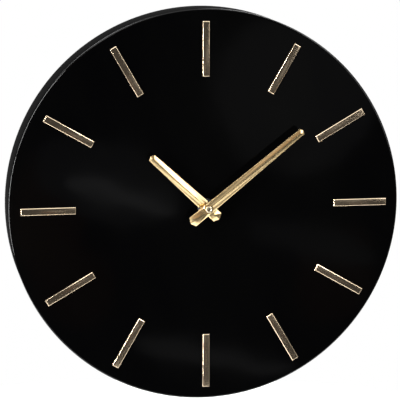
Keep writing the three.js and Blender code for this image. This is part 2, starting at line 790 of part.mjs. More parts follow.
function trainBridge() {
  const outline = rectangle(bridgeLeft, bridgeRight, bridgeBottom, bridgeTop);
  const holes = [
    circle(secondsBore + BRIDGE_EXTRA_GAP, AXIS, FLATS.shaft),
    circle(pivotHole, thirdPlace, FLATS.pivot),
    circle(pivotHole, stepPlace, FLATS.pivot),
    circle(pivotHole, rotorPlace, FLATS.pivot),
  ];
  return plate(outline, BRIDGE_LAYER, BRIDGE_LAYER + BRIDGE_SHEET, holes);
}

piece("movement_housing", movementHousing(), FINISH.blackPlastic);
piece("movement_cover", movementCover(), FINISH.blackPlastic);
piece("train_bridge", trainBridge(), FINISH.greyPlastic);

// ---------------------------------------------------------------- motion work

/** A toothed disc between two heights. */
function toothed(wheel, y0, y1) {
  return plate(wheel.outline, y0, y1);
}

function hourWheelAndPipe() {
  const back = HOUR_LAYER + WHEEL_THICKNESS;
  const disc = toothed(hourWheel, HOUR_LAYER, back);
  const pipe = rod(hourPipeRadius, hourPipeFront, HOUR_LAYER + ROOT);
  const bore = rod(hourBore, hourPipeFront - PAST, back + PAST);
  return join(disc, pipe).subtract(bore);
}

function minuteArbor() {
  const back = CANNON_LAYER + WHEEL_THICKNESS;
  const pinion = toothed(cannonPinion, CANNON_LAYER, back);
  const arbor = rod(MINUTE_ARBOR_RADIUS, arborFront, CANNON_LAYER + ROOT);
  const bore = rod(secondsBore, arborFront - PAST, back + PAST, AXIS, FLATS.pivot);
  return join(arbor, pinion).subtract(bore);
}

function motionWheelAndPinion() {
  const wheelBack = CANNON_LAYER + WHEEL_THICKNESS;
  const pinion = toothed(motionPinion, HOUR_LAYER, CANNON_LAYER + ROOT);
  const disc = toothed(motionWheel, CANNON_LAYER, wheelBack);
  const radius = MOTION_POST_RADIUS + RUNNING_GAP;
  const bore = rod(radius, HOUR_LAYER - PAST, wheelBack + PAST, motionPlace, FLATS.pivot);
  return join(pinion, disc).subtract(bore);
}

/** The knob behind the movement, its shaft, and the pinion that turns the motion wheel. */
function settingKnob() {
  const [x, z] = knobPlace;
  const discFront = movementBack + SIDE_GAP;
  const discBack = discFront + KNOB_HEIGHT;
  const ribs = Array.from({ length: 2 * KNOB_RIBS }, (_, i) => {
    const turn = (Math.PI * i) / KNOB_RIBS;
    const radius = i % 2 ? KNOB_RADIUS : KNOB_RADIUS - KNOB_RIB_DEPTH;
    return [x + radius * Math.cos(turn), z + radius * Math.sin(turn)];
  });
  const disc = plate(ribs, discFront, discBack);
  const dishFront = discBack - KNOB_DISH_DEPTH;
  const dish = rod(KNOB_RADIUS - KNOB_RIM, dishFront, discBack + PAST, knobPlace, FLATS.disc);
  const reach = KNOB_RADIUS - KNOB_RIM + FOOT;
  const half = KNOB_BAR_WIDTH / 2;
  const barFront = discBack - KNOB_BAR_DEPTH;
  const bar = block([x - reach, barFront, z - half], [x + reach, discBack, z + half]);
  const shaft = rod(KNOB_SHAFT_RADIUS, CANNON_LAYER, discFront + ROOT, knobPlace, FLATS.shaft);
  const pivotFront = chamberFront + FOOT;
  const pivot = rod(PIVOT_RADIUS, pivotFront, CANNON_LAYER + ROOT, knobPlace, FLATS.pivot);
  const pinion = toothed(knobPinion, CANNON_LAYER, CANNON_LAYER + WHEEL_THICKNESS);
  return join(disc.subtract(dish), bar, shaft, pivot, pinion);
}

piece("hour_wheel", hourWheelAndPipe(), FINISH.brass);
piece("minute_arbor", minuteArbor(), FINISH.brass);
piece("motion_wheel", motionWheelAndPinion(), FINISH.whitePlastic);
piece("setting_knob", settingKnob(), FINISH.blackPlastic);

// ---------------------------------------------------------------- going train

function centreWheelRing() {
  const back = CENTRE_LAYER + WHEEL_THICKNESS;
  const disc = toothed(centreWheel, CENTRE_LAYER, back);
  const bore = rod(secondsBore, CENTRE_LAYER - PAST, back + PAST, AXIS, FLATS.pivot);
  return disc.subtract(bore);
}

/** Arbor, pinion in the centre wheel's layer and wheel in the layer behind it. */
function thirdWheelAndPinion() {
  const back = THIRD_LAYER + WHEEL_THICKNESS;
  const pinion = toothed(thirdPinion, CENTRE_LAYER - SIDE_GAP / 2, THIRD_LAYER + ROOT);
  const disc = toothed(thirdWheel, THIRD_LAYER, back);
  const pivotEnd = BRIDGE_LAYER + BRIDGE_SHEET;
  const arbor = rod(PIVOT_RADIUS, chamberFront + FOOT, pivotEnd, thirdPlace, FLATS.pivot);
  return join(pinion, disc, arbor);
}

function secondsWheelAndArbor() {
  const back = SECONDS_LAYER + WHEEL_THICKNESS;
  const disc = toothed(secondsWheel, SECONDS_LAYER, back);
  const pinionFront = THIRD_LAYER - SIDE_GAP / 2;
  const pinion = toothed(secondsPinion, pinionFront, BRIDGE_LAYER - RUNNING_GAP);
  const front = arborFront + SECONDS_BELOW_ARBOR_TOP;
  const arbor = rod(SECONDS_ARBOR_RADIUS, front, back + ROOT, AXIS, FLATS.pivot);
  const hubBack = coverInner - PIVOT_LENGTH - RUNNING_GAP;
  const hub = rod(SECONDS_HUB_RADIUS, back - ROOT, hubBack, AXIS, FLATS.pivot);
  const pivot = rod(PIVOT_RADIUS, back, coverInner - RUNNING_GAP, AXIS, FLATS.pivot);
  return join(disc, pinion, arbor, hub, pivot);
}

function stepWheelAndPinion() {
  const back = STEP_LAYER + WHEEL_THICKNESS;
  const pinion = toothed(stepPinion, SECONDS_LAYER, STEP_LAYER + ROOT);
  const disc = toothed(stepWheel, STEP_LAYER, back);
  const pivotBack = coverInner - RUNNING_GAP;
  const pivot = rod(PIVOT_RADIUS, BRIDGE_LAYER, pivotBack, stepPlace, FLATS.pivot);
  return join(pinion, disc, pivot);
}

/** Rotor: a small round magnet and a pinion on one arbor. */
function rotorAndMagnet() {
  const magnetBack = SECONDS_LAYER + MAGNET_LENGTH;
  const magnet = rod(MAGNET_RADIUS, SECONDS_LAYER, magnetBack, rotorPlace, FLATS.disc);
  const pinionBack = STEP_LAYER + WHEEL_THICKNESS + RUNNING_GAP;
  const pinion = toothed(rotorPinion, magnetBack - FOOT, pinionBack);
  const pivotBack = coverInner - RUNNING_GAP;
  const pivot = rod(PIVOT_RADIUS, BRIDGE_LAYER, pivotBack, rotorPlace, FLATS.pivot);
  return join(magnet, pinion, pivot);
}

piece("centre_wheel", centreWheelRing(), FINISH.brass);
piece("third_wheel", thirdWheelAndPinion(), FINISH.whitePlastic);
piece("seconds_wheel", secondsWheelAndArbor(), FINISH.whitePlastic);
piece("step_wheel", stepWheelAndPinion(), FINISH.whitePlastic);
piece("rotor", rotorAndMagnet(), FINISH.greyPlastic);

// ---------------------------------------------------------------- stepping motor

const statorFront = SECONDS_LAYER + STATOR_OFFSET;
const statorBack = statorFront + STATOR_SHEET;
const coilBottom = rotorPlace[1] - COIL_LENGTH / 2 + COIL_OFFSET;
const coilTop = coilBottom + COIL_LENGTH;
const coreBack = statorBack + STATOR_SHEET;
const coilY = (statorBack + coreBack) / 2;

/** A flat plate round the rotor, with two arms that reach the ends of the coil's core. */
function stator() {
  const left = rotorPlace[0] - STATOR_WIDTH / 2;
  const right = rotorPlace[0] + STATOR_WIDTH / 2;
  const armEnd = coilX + CORE_WIDTH / 2;
  const low = coilBottom - ARM_REACH;
  const high = coilTop + ARM_REACH;
  const outline = [
    [left, low],
    [armEnd, low],
    [armEnd, coilBottom - RUNNING_GAP],
    [right, coilBottom - RUNNING_GAP],
    [right, coilTop + RUNNING_GAP],
    [armEnd, coilTop + RUNNING_GAP],
    [armEnd, high],
    [left, high],
  ];
  const hole = circle(MAGNET_RADIUS + RUNNING_GAP, rotorPlace, FLATS.disc);
  return plate(outline, statorFront, statorBack, [hole]);
}

function coilCore() {
  const half = CORE_WIDTH / 2;
  const [low, high] = [coilBottom - ARM_REACH, coilTop + ARM_REACH];
  const outline = rectangle(coilX - half, coilX + half, low, high);
  return plate(outline, statorBack, coreBack);
}

/** A spool standing along Z, from a profile of [radius, z] points. */
function spool(profile) {
  const solid = turned(profile, FLATS.pipe).rotate([90, 0, 0]);
  return solid.translate([coilX, coilY, 0]);
}

function coilBobbin() {
  const profile = [
    [0, coilBottom],
    [COIL_RADIUS, coilBottom],
    [COIL_RADIUS, coilBottom + FLANGE],
    [BOBBIN_TUBE_RADIUS, coilBottom + FLANGE],
    [BOBBIN_TUBE_RADIUS, coilTop - FLANGE],
    [COIL_RADIUS, coilTop - FLANGE],
    [COIL_RADIUS, coilTop],
    [0, coilTop],
  ];
  const room = SEAT_GAP;
  const half = CORE_WIDTH / 2 + room;
  const slot = block(
    [coilX - half, statorBack - room, coilBottom - PAST],
    [coilX + half, coreBack + room, coilTop + PAST],
  );
  return spool(profile).subtract(slot);
}

function coilWinding() {
  const inner = BOBBIN_TUBE_RADIUS + RUNNING_GAP;
  const outer = COIL_RADIUS - SEAT_GAP;
  const low = coilBottom + FLANGE + RUNNING_GAP;
  const high = coilTop - FLANGE - RUNNING_GAP;
  return spool([
    [inner, low],
    [outer, low],
    [outer, high],
    [inner, high],
    [inner, low],
  ]);
}

piece("stator", stator(), FINISH.zincSteel);
piece("coil_core", coilCore(), FINISH.zincSteel);
piece("coil_bobbin", coilBobbin(), FINISH.whitePlastic);
piece("coil_winding", coilWinding(), FINISH.copper);

// ---------------------------------------------------------------- circuit and battery

const boardBack = boardFront + BOARD_SHEET;

function quartzCrystal() {
  const [insetX, insetZ] = CRYSTAL_INSET;
  const can = [CRYSTAL_RADIUS, CRYSTAL_RADIUS, CRYSTAL_LENGTH, FLATS.shaft];
  const geometry = new THREE.CylinderGeometry(...can);
  geometry.rotateX(Math.PI / 2);
  const y = boardBack + CRYSTAL_RADIUS + RUNNING_GAP;
  geometry.translate(boardRight - insetX, y, boardTop - insetZ - CRYSTAL_LENGTH / 2);
  return solidOf(geometry);
}

/** The resin drop that covers the driver chip. */
function driverChip() {
  const [insetX, insetZ] = CHIP_INSET;
  const swell = [
    [1, 0],
    [0.85, 0.6],
    [0.45, 1],
  ];
  const crown = swell.map(([r, h]) => [r * CHIP_RADIUS, boardBack + h * CHIP_HEIGHT]);
  const profile = [[0, boardBack], ...crown, [0, boardBack + CHIP_HEIGHT]];
  return turned(profile, FLATS.pipe).translate([boardLeft + insetX, 0, boardTop - insetZ]);
}

const boardOutline = rectangle(boardLeft, boardRight, boardBottom, boardTop);
piece("circuit_board", plate(boardOutline, boardFront, boardBack), FINISH.green);
piece("quartz_crystal", quartzCrystal(), FINISH.zincSteel);
piece("driver_chip", driverChip(), FINISH.blackPlastic);

/** One AA cell along X, its positive end towards -X. */
function batteryCell() {
  const half = BATTERY_LENGTH / 2;
  const radius = BATTERY_DIAMETER / 2;
  const shoulder = -half + BATTERY_NUB_LENGTH;
  const bevel = BATTERY_BEVEL;
  const profile = [
    [0, -half],
    [BATTERY_NUB_RADIUS, -half],
    [BATTERY_NUB_RADIUS, shoulder],
    [radius - bevel, shoulder],
    [radius, shoulder + bevel],
    [radius, half - bevel],
    [radius - bevel, half],
    [0, half],
  ];
  const cell = turned(profile, FLATS.ring).rotate([0, 0, -90]);
  return cell.translate([0, batteryAxisY, batteryAxisZ]);
}

const contactLow = batteryAxisZ - CONTACT_STRIP;
const stripX = chamberHalfWidth - CONTACT_ROOM - CONTACT_SHEET / 2;

/** A round dimple on a contact's face at x, standing out to one side towards the cell. */
function dimple(x, side, [low, high], sizes) {
  const room = batteryEndRoom - CONTACT_ROOM - CONTACT_SHEET - RUNNING_GAP;
  const bump = new THREE.CylinderGeometry(...sizes, room + 2 * DIMPLE_ROOT, FLATS.shaft);
  bump.rotateZ((side * Math.PI) / 2);
  bump.translate(x - (side * room) / 2, (low + high) / 2, batteryAxisZ);
  return solidOf(bump);
}

/** Stands against the left wall, from the cell's nub up to the board. */
function positiveContact() {
  const line = [
    [-stripX, contactLow],
    [-stripX, boardBottom],
  ];
  const strip = plate(stripOutline(line, CONTACT_SHEET), ...contactY);
  const face = CONTACT_SHEET / 2 - stripX;
  return strip.add(dimple(face, -1, contactY, POSITIVE_DIMPLE));
}

/** Runs from the cell's negative end along the chamber's floor and up to the board. */
function negativeContact() {
  const runZ = chamberFloor + RUNNING_GAP + CONTACT_SHEET / 2;
  const legX = boardLeft + CONTACT_LEG_INSET;
  const line = [
    [stripX, contactLow],
    [stripX, runZ],
    [legX, runZ],
    [legX, boardBottom - RUNNING_GAP],
  ];
  const runY = [Math.max(contactY[0], SECONDS_LAYER), contactY[1]];
  const strip = plate(stripOutline(line, CONTACT_SHEET), ...runY);
  const face = stripX - CONTACT_SHEET / 2;
  return strip.add(dimple(face, 1, runY, NEGATIVE_DIMPLE));
}

piece("battery", batteryCell(), FINISH.batteryLabel);
piece("contact_positive", positiveContact(), FINISH.zincSteel);
piece("contact_negative", negativeContact(), FINISH.zincSteel);

// ---------------------------------------------------------------- place on the wall

// The hanging point is the middle of the round end of the keyhole slot.
dialFrame.position.z = -(CASE_RADIUS - KEYHOLE_BELOW_RIM);

export default clock;
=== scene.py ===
# %% [markdown]
# # A black and gold wall clock
#
# The clock's sizes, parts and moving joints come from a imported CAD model. This lesson puts the
# looks around it: smooth meshes where the CAD is faceted, a finish on every surface, lights and a
# camera. Everything is in metres, +Z is up, the dial faces -Y and the wall is the plane y = 0.

# %% Load the frame
import math
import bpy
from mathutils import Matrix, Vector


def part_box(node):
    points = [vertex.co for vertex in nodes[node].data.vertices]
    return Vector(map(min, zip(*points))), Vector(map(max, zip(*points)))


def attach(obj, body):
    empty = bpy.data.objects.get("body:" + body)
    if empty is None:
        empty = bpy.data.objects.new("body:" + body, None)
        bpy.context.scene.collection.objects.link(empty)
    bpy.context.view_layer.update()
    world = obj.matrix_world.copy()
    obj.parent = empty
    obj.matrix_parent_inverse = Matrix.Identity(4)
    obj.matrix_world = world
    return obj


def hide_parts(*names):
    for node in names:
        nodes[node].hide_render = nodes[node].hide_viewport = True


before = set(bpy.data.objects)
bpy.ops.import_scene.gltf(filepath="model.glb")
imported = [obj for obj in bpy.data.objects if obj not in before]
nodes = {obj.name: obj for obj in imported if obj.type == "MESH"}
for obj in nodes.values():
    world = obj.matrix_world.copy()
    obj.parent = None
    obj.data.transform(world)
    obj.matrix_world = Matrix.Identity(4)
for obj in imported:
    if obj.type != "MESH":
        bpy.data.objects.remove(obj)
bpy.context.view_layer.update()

from types import SimpleNamespace

import bmesh
import bpy
from mathutils import Matrix, Vector

scene = bpy.context.scene

# %% [markdown]
# ## Sizes read from the frame
#
# A size that the CAD model already holds is measured on its nodes and never typed again. The
# case's box gives the radius, the depth and the dial's middle, and each other part's box gives
# its own place. Only what the CAD model leaves out, such as a fine edge round, is a new number
# here.

# %% The case's own sizes
MM = 0.001
case_low, case_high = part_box("dial_case")
dial = SimpleNamespace(
    middle=Vector(((case_low.x + case_high.x) / 2, case_low.y, (case_low.z + case_high.z) / 2)),
    radius=(case_high.x - case_low.x) / 2,
    front=case_low.y,
    depth=case_high.y - case_low.y,
)
gasket_low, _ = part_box("dial_gasket")
sheet = gasket_low.y - dial.front
print(f"radius {dial.radius:.3f}, depth {dial.depth:.3f}, sheet {sheet * 1000:.2f} mm")

# %% [markdown]
# ## Camera
#
# A long lens from a little to the left and above, as shops show their goods. The position is an
# azimuth, an elevation and a distance from the dial's middle in dial radii, and the aim is a
# point close beside the middle, so the clock sits in the frame as it should.

# %% Make the camera
CAMERA_AZIMUTH = math.radians(-10.12)
CAMERA_ELEVATION = math.radians(10.05)
CAMERA_DISTANCE = 9.934 * dial.radius
CAMERA_AIM = dial.middle + Vector((-0.0299, 0, 0.0347)) * dial.radius
CAMERA_LENS = 176.7


def around(azimuth, elevation, distance):
    """The point at that azimuth, elevation and distance from the dial's middle."""
    level = distance * math.cos(elevation)
    offset = Vector((
        level * math.sin(azimuth),
        -level * math.cos(azimuth),
        distance * math.sin(elevation),
    ))
    return dial.middle + offset


def aimed(data, place, target):
    """An object that holds data, at place and looking at target."""
    thing = bpy.data.objects.new(data.name, data)
    thing.location = place
    thing.rotation_mode = "QUATERNION"
    thing.rotation_quaternion = (target - place).to_track_quat("-Z", "Y")
    scene.collection.objects.link(thing)
    return thing


lens = bpy.data.cameras.new("camera")
lens.lens = CAMERA_LENS
lens.sensor_width = 36
lens.clip_start = 0.05
lens.clip_end = 50
camera_place = around(CAMERA_AZIMUTH, CAMERA_ELEVATION, CAMERA_DISTANCE)
scene.camera = aimed(lens, camera_place, CAMERA_AIM)
print("camera at", [round(v, 3) for v in camera_place])

# %% [markdown]
# ## Shader maths
#
# Colours and masks are easier to read as sums than as boxes and wires. The class below wraps one
# output socket. An operator on it adds a Math node, so `1 - mask * 0.5` builds the same graph
# that a person would wire by hand. Colours are mixed with Mix nodes, because a Math node turns
# them grey.

# %% The socket class


class Wire:
    """One output socket of a node tree, with operators that add Math nodes."""

    def __init__(self, tree, socket):
        self.tree = tree
        self.socket = socket

    def node(self, kind, settings=None, output=0, **inputs):
        """Adds any node: its settings first, then values or wires for its sockets."""
        made = self.tree.nodes.new(kind)
        for name, value in (settings or {}).items():
            if name == "ramp":
                set_ramp(made.color_ramp, value)
            else:
                setattr(made, name, value)
        for name, value in inputs.items():
            key = int(name[1:]) if name[0] == "i" and name[1:].isdigit() else name
            socket = made.inputs[key if isinstance(key, int) else key.replace("_", " ")]
            if isinstance(value, Wire):
                self.tree.links.new(value.socket, socket)
            else:
                socket.default_value = value
        return Wire(self.tree, made.outputs[output])

    def math(self, operation, first, second=0.0, clamp=False):
        settings = {"operation": operation, "use_clamp": clamp}
        return self.node("ShaderNodeMath", settings, i0=first, i1=second)

    def __add__(self, other):
        return self.math("ADD", self, other)

    def __radd__(self, other):
        return self.math("ADD", other, self)

    def __sub__(self, other):
        return self.math("SUBTRACT", self, other)

    def __rsub__(self, other):
        return self.math("SUBTRACT", other, self)

    def __mul__(self, other):
        return self.math("MULTIPLY", self, other)

    def __rmul__(self, other):
        return self.math("MULTIPLY", other, self)

    def __truediv__(self, other):
        return self.math("DIVIDE", self, other)

    def __pow__(self, other):
        return self.math("POWER", self, other)

    def __gt__(self, other):
        return self.math("GREATER_THAN", self, other)

    def __lt__(self, other):
        return self.math("LESS_THAN", self, other)

    def clamp(self):
        return self.math("ADD", self, 0.0, clamp=True)


def set_ramp(ramp, stops):
    """Sets a colour ramp from (position, value) stops; a value is a grey or a colour."""
    while len(ramp.elements) < len(stops):
        ramp.elements.new(0.5)
    for element, (position, value) in zip(ramp.elements, stops):
        element.position = position
        grey = isinstance(value, (int, float))
        element.color = (value, value, value, 1) if grey else (*value, 1)


# %% [markdown]
# ## The parts of a finish
#
# Every finish starts from the same things: where a point is on the part, a few noises at the
# right scale, and a Principled shader. Positions are object coordinates in millimetres, so grain
# and streaks keep their real size, and each part's own orientation can turn them.

# %% Finish helpers


class Finish:
    """A material being built: a Principled shader and short ways to feed it."""

    def __init__(self, name, **fixed):
        self.material = bpy.data.materials.new(name)
        self.material.use_nodes = True
        self.tree = self.material.node_tree
        self.tree.nodes.clear()
        output = self.tree.nodes.new("ShaderNodeOutputMaterial")
        self.shader = self.tree.nodes.new("ShaderNodeBsdfPrincipled")
        self.tree.links.new(self.shader.outputs[0], output.inputs["Surface"])
        for key, value in fixed.items():
            self.shader.inputs[key.replace("_", " ")].default_value = value
        start = self.tree.nodes.new("ShaderNodeTexCoord")
        self.root = Wire(self.tree, start.outputs["Object"])
        self.position = self.vector("SCALE", self.root, Scale=1000.0)

    def vector(self, operation, first, second=None, **more):
        """A Vector Math node; its result is the vector output."""
        inputs = {"i0": first, **more}
        if second is not None:
            inputs["i1"] = second
        return self.root.node("ShaderNodeVectorMath", {"operation": operation}, **inputs)

    def split(self, wire):
        """The x, y and z of a vector."""
        return [wire.node("ShaderNodeSeparateXYZ", None, axis, i0=wire) for axis in range(3)]

    def turned(self, degrees, centre=(0, 0, 0), stretch=(1, 1, 1)):
        """Positions turned about Y and stretched, for grain that runs along a part."""
        settings = {"vector_type": "TEXTURE"}
        return self.root.node(
            "ShaderNodeMapping",
            settings,
            Vector=self.position,
            Location=centre,
            Rotation=(0, math.radians(degrees), 0),
            Scale=stretch,
        )

    def noise(self, scale, detail=2.0, rough=0.5, at=None, distortion=0.0):
        """Noise of about 1 / scale millimetres, from 0 to 1."""
        return self.root.node(
            "ShaderNodeTexNoise",
            None,
            Vector=at or self.position,
            Scale=scale,
            Detail=detail,
            Roughness=rough,
            Distortion=distortion,
        )

    def noise_along(self, wire, scale):
        """Noise along one value, from 0 to 1."""
        settings = {"noise_dimensions": "1D"}
        return self.root.node("ShaderNodeTexNoise", settings, W=wire, Scale=scale, Detail=3.0)

    def ramp(self, wire, *stops):
        """A wire sent through a colour ramp."""
        return self.root.node("ShaderNodeValToRGB", {"ramp": stops}, Fac=wire)

    def mix(self, share, first, second):
        """Two colours mixed by share."""
        settings = {"data_type": "RGBA"}
        return self.root.node("ShaderNodeMix", settings, 2, i0=share, i6=first, i7=second)

    def bump(self, height, distance, strength=1.0, over=None):
        """A bump of that depth in millimetres, over another bump if there is one."""
        inputs = {"Height": height, "Distance": distance * MM, "Strength": strength}
        if over is not None:
            inputs["Normal"] = over
        return self.root.node("ShaderNodeBump", None, **inputs)

    def feed(self, **wires):
        """Links or sets the shader's sockets and gives the material back."""
        for key, value in wires.items():
            socket = self.shader.inputs[key.replace("_", " ")]
            if isinstance(value, Wire):
                self.tree.links.new(value.socket, socket)
            else:
                socket.default_value = value
        return self.material


def rgb(red, green, blue):
    return (red, green, blue, 1.0)


print("finish helpers ready")

# %% [markdown]
# ## Mesh helpers
#
# Round parts are turned from a profile, as on a lathe. Sheet parts are outlines with a thickness.
# Holes are cut with Blender's Boolean modifier, which is applied at once, so that the finished
# mesh is one closed body. Then small rounds are added, because no real edge is perfectly sharp,
# and the edges that stay sharp are marked so that shading is smooth between them.

# %% Turning, cutting and rounding
FINE = 192
MEDIUM = 64
COARSE = 24
SAME_LEVEL = 0.01 * MM


def turned(profile, segments):
    """A closed ring turned about the Y axis from a closed profile of (radius, y) points."""
    shape = bmesh.new()
    rings = []
    for step in range(segments):
        turn = 2 * math.pi * step / segments
        across = Vector((math.sin(turn), 0, math.cos(turn)))
        rings.append([shape.verts.new(across * r + Vector((0, y, 0))) for r, y in profile])
    count = len(profile)
    for step, ring in enumerate(rings):
        following = rings[(step + 1) % segments]
        for i in range(count):
            j = (i + 1) % count
            shape.faces.new((ring[i], ring[j], following[j], following[i]))
    bmesh.ops.recalc_face_normals(shape, faces=shape.faces)
    return shape


def rod(radius, y0, y1, place=(0, 0), segments=MEDIUM, round=0.0):
    """A closed rod along Y, its ends rounded by round."""
    shape = bmesh.new()
    small = radius - round
    levels = [(y0, small), (y0 + round, radius), (y1 - round, radius), (y1, small)]
    if round == 0:
        levels = [(y0, radius), (y1, radius)]
    rings = []
    for y, r in levels:
        ring = []
        for step in range(segments):
            turn = 2 * math.pi * step / segments
            point = (place[0] + r * math.cos(turn), y, place[1] + r * math.sin(turn))
            ring.append(shape.verts.new(point))
        rings.append(ring)
    for low, high in zip(rings, rings[1:]):
        for i in range(segments):
            j = (i + 1) % segments
            shape.faces.new((low[i], low[j], high[j], high[i]))
    shape.faces.new(rings[0])
    shape.faces.new(rings[-1])
    bmesh.ops.recalc_face_normals(shape, faces=shape.faces)
    return shape


def prism(outline, y0, y1):
    """An outline of (x, z) points given thickness along Y."""
    shape = bmesh.new()
    front = [shape.verts.new((x, y0, z)) for x, z in outline]
    back = [shape.verts.new((x, y1, z)) for x, z in outline]
    shape.faces.new(front)
    shape.faces.new(back)
    for i in range(len(outline)):
        j = (i + 1) % len(outline)
        shape.faces.new((front[i], front[j], back[j], back[i]))
    bmesh.ops.recalc_face_normals(shape, faces=shape.faces)
    return shape


def meshed(name, shape):
    """An object from a bmesh."""
    mesh = bpy.data.meshes.new(name)
    shape.to_mesh(mesh)
    shape.free()
    made = bpy.data.objects.new(name, mesh)
    scene.collection.objects.link(made)
    return made


def combine(thing, shape, operation):
    """Joins a shape to thing or cuts it out of thing, at once."""
    tool = meshed("tool", shape)
    step = thing.modifiers.new("combine", "BOOLEAN")
    step.operation = operation
    step.solver = "MANIFOLD"
    step.object = tool
    settle(thing)
    bpy.data.objects.remove(tool)
    return thing


def settle(thing):
    """Applies every modifier of thing."""
    graph = bpy.context.evaluated_depsgraph_get()
    final = bpy.data.meshes.new_from_object(thing.evaluated_get(graph))
    thing.modifiers.clear()
    thing.data = final


def rounded(thing, width, segments=2, limit=30):
    """Rounds every edge sharper than limit degrees."""
    tidy = thing.modifiers.new("flat faces", "DECIMATE")
    tidy.decimate_type = "DISSOLVE"
    tidy.angle_limit = math.radians(0.3)
    step = thing.modifiers.new("round", "BEVEL")
    step.width = width
    step.segments = segments
    step.limit_method = "ANGLE"
    step.angle_limit = math.radians(limit)
    step.use_clamp_overlap = True
    settle(thing)
    return thing


def smooth(thing, limit=35):
    """Smooth shading, broken where faces meet at more than limit degrees."""
    shape = bmesh.new()
    shape.from_mesh(thing.data)
    for face in shape.faces:
        face.smooth = True
    for edge in shape.edges:
        edge.smooth = edge.calc_face_angle(0) < math.radians(limit)
    shape.to_mesh(thing.data)
    shape.free()
    return thing


def put(thing, body, slot, stands_for, *finishes):
    """Gives a piece its finishes and body, and hides the CAD node it stands for; slot is not used.
    """
    thing.data.materials.clear()
    for finish in finishes:
        thing.data.materials.append(finish)
    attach(thing, body)
    if stands_for:
        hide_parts(stands_for)
    return thing


def arc(centre, size, start, end, steps):
    """Points of an arc in (radius, y), from one angle to another in degrees."""
    points = []
    for step in range(steps + 1):
        turn = math.radians(start + (end - start) * step / steps)
        points.append((centre[0] + size * math.cos(turn), centre[1] + size * math.sin(turn)))
    return points


def from_axis(node):
    """A CAD node's vertices as seen from the dial's axis, with y kept."""
    offset = Vector((dial.middle.x, 0, dial.middle.z))
    return [vertex.co - offset for vertex in nodes[node].data.vertices]


def radii_at(node, y):
    """The least and greatest distance from the axis of a node's vertices at that y."""
    level = [math.hypot(p.x, p.z) for p in from_axis(node) if abs(p.y - y) < SAME_LEVEL]
    return min(level), max(level)


axis_place = Matrix.Translation((dial.middle.x, 0, dial.middle.z))
hole_radius, flat_radius = radii_at("dial_case", dial.front)
lip_radius, _ = radii_at("dial_case", case_high.y)
dial.corner = dial.radius - flat_radius
print(f"corner {dial.corner * 1000:.2f}, lip from {lip_radius * 1000:.1f} mm")

# %% [markdown]
# ## Black lacquer
#
# The case is pressed steel with a black stove enamel: nearly black, with a satin gloss. Three
# things keep it from looking like plain black. The gloss changes slowly over the sheet, the
# enamel has a faint orange peel, and the pressed sheet is never perfectly flat, so reflections
# drift a little. Inside the pan nobody polishes: there the spray lands thin and dry over a matt
# grey primer.

# %% The case's finish


def black_lacquer():
    finish = Finish("black_lacquer", Specular_IOR_Level=0.17)
    cloud = finish.noise(0.012, detail=3, rough=0.55, at=finish.turned(-24, stretch=(1, 1, 3.2)))
    dust = finish.noise(2.4, detail=4, rough=0.7)
    tone = finish.ramp(cloud, (0.3, (0.0002, 0.0002, 0.0003)), (0.7, (0.0006, 0.0006, 0.0006)))
    gloss = 0.06 + (cloud - 0.5) * 0.04 + (dust - 0.5) * 0.02
    waves = finish.bump(finish.noise(0.014, detail=1), 0.20)
    peel = finish.bump(finish.noise(0.42, detail=2, rough=0.4), 0.002, over=waves)
    return finish.feed(Base_Color=tone, Roughness=gloss.clamp(), Normal=peel)


LACQUER = black_lacquer()


def primer_grey():
    finish = Finish("primer_grey", Specular_IOR_Level=0.4)
    cloud = finish.noise(0.03, detail=3, rough=0.6)
    speck = finish.noise(1.8, detail=3, rough=0.7)
    thin = ((cloud - 0.45) * 3).clamp()
    tone = finish.mix(thin, rgb(0.014, 0.014, 0.015), rgb(0.030, 0.030, 0.031))
    gloss = 0.52 + (speck - 0.5) * 0.16
    return finish.feed(Base_Color=tone, Roughness=gloss.clamp(), Normal=finish.bump(speck, 0.02))


PRIMER = primer_grey()
print("made", LACQUER.name, "and", PRIMER.name)

# %% [markdown]
# ## The case
#
# On the real clock the dial, the wall and the back lip are one shallow pan, spun or pressed from
# one sheet. It is turned here from one closed profile: along the dial's front, round the corner,
# back along the wall, round again into the lip, and home along the inside. The inner end of the
# lip is rounded by a half circle, as a cut and deburred sheet edge is. A narrow extra ring just
# inside each corner keeps the corner's smooth shading from leaning into the flat dial.

# %% Turn the case
CORNER_STEPS = 10
FLAT_MARGIN = 0.6 * MM


def case_profile():
    """The (radius, y) profile of the pan."""
    inner_corner = dial.corner - sheet
    front = (flat_radius, dial.front + dial.corner)
    back = (flat_radius, case_high.y - dial.corner)
    lip_edge = (lip_radius + sheet / 2, case_high.y - sheet / 2)
    hole_round = sheet / 4
    return [
        *arc(lip_edge, sheet / 2, 90, 270, 6),
        *arc(back, inner_corner, 90, 0, CORNER_STEPS),
        *arc(front, inner_corner, 0, -90, CORNER_STEPS),
        (flat_radius - FLAT_MARGIN, dial.front + sheet),
        (hole_radius, dial.front + sheet),
        (hole_radius, dial.front + hole_round),
        (hole_radius + hole_round, dial.front),
        (flat_radius - FLAT_MARGIN, dial.front),
        *arc(front, dial.corner, -90, 0, CORNER_STEPS),
        *arc(back, dial.corner, 0, 90, CORNER_STEPS),
    ]


def stud_places():
    """Distance of each stud from the axis, and its radius, read from the bar at twelve."""
    points = from_axis("hour_marker_12")
    end = max(p.y for p in points)
    tips = sorted(p.z for p in points if abs(p.y - end) < SAME_LEVEL)
    middle = (tips[0] + tips[-1]) / 2
    near = [z for z in tips if z < middle]
    far = [z for z in tips if z > middle]
    radius = (near[-1] - near[0]) / 2
    return [(near[0] + near[-1]) / 2, (far[0] + far[-1]) / 2], radius, end


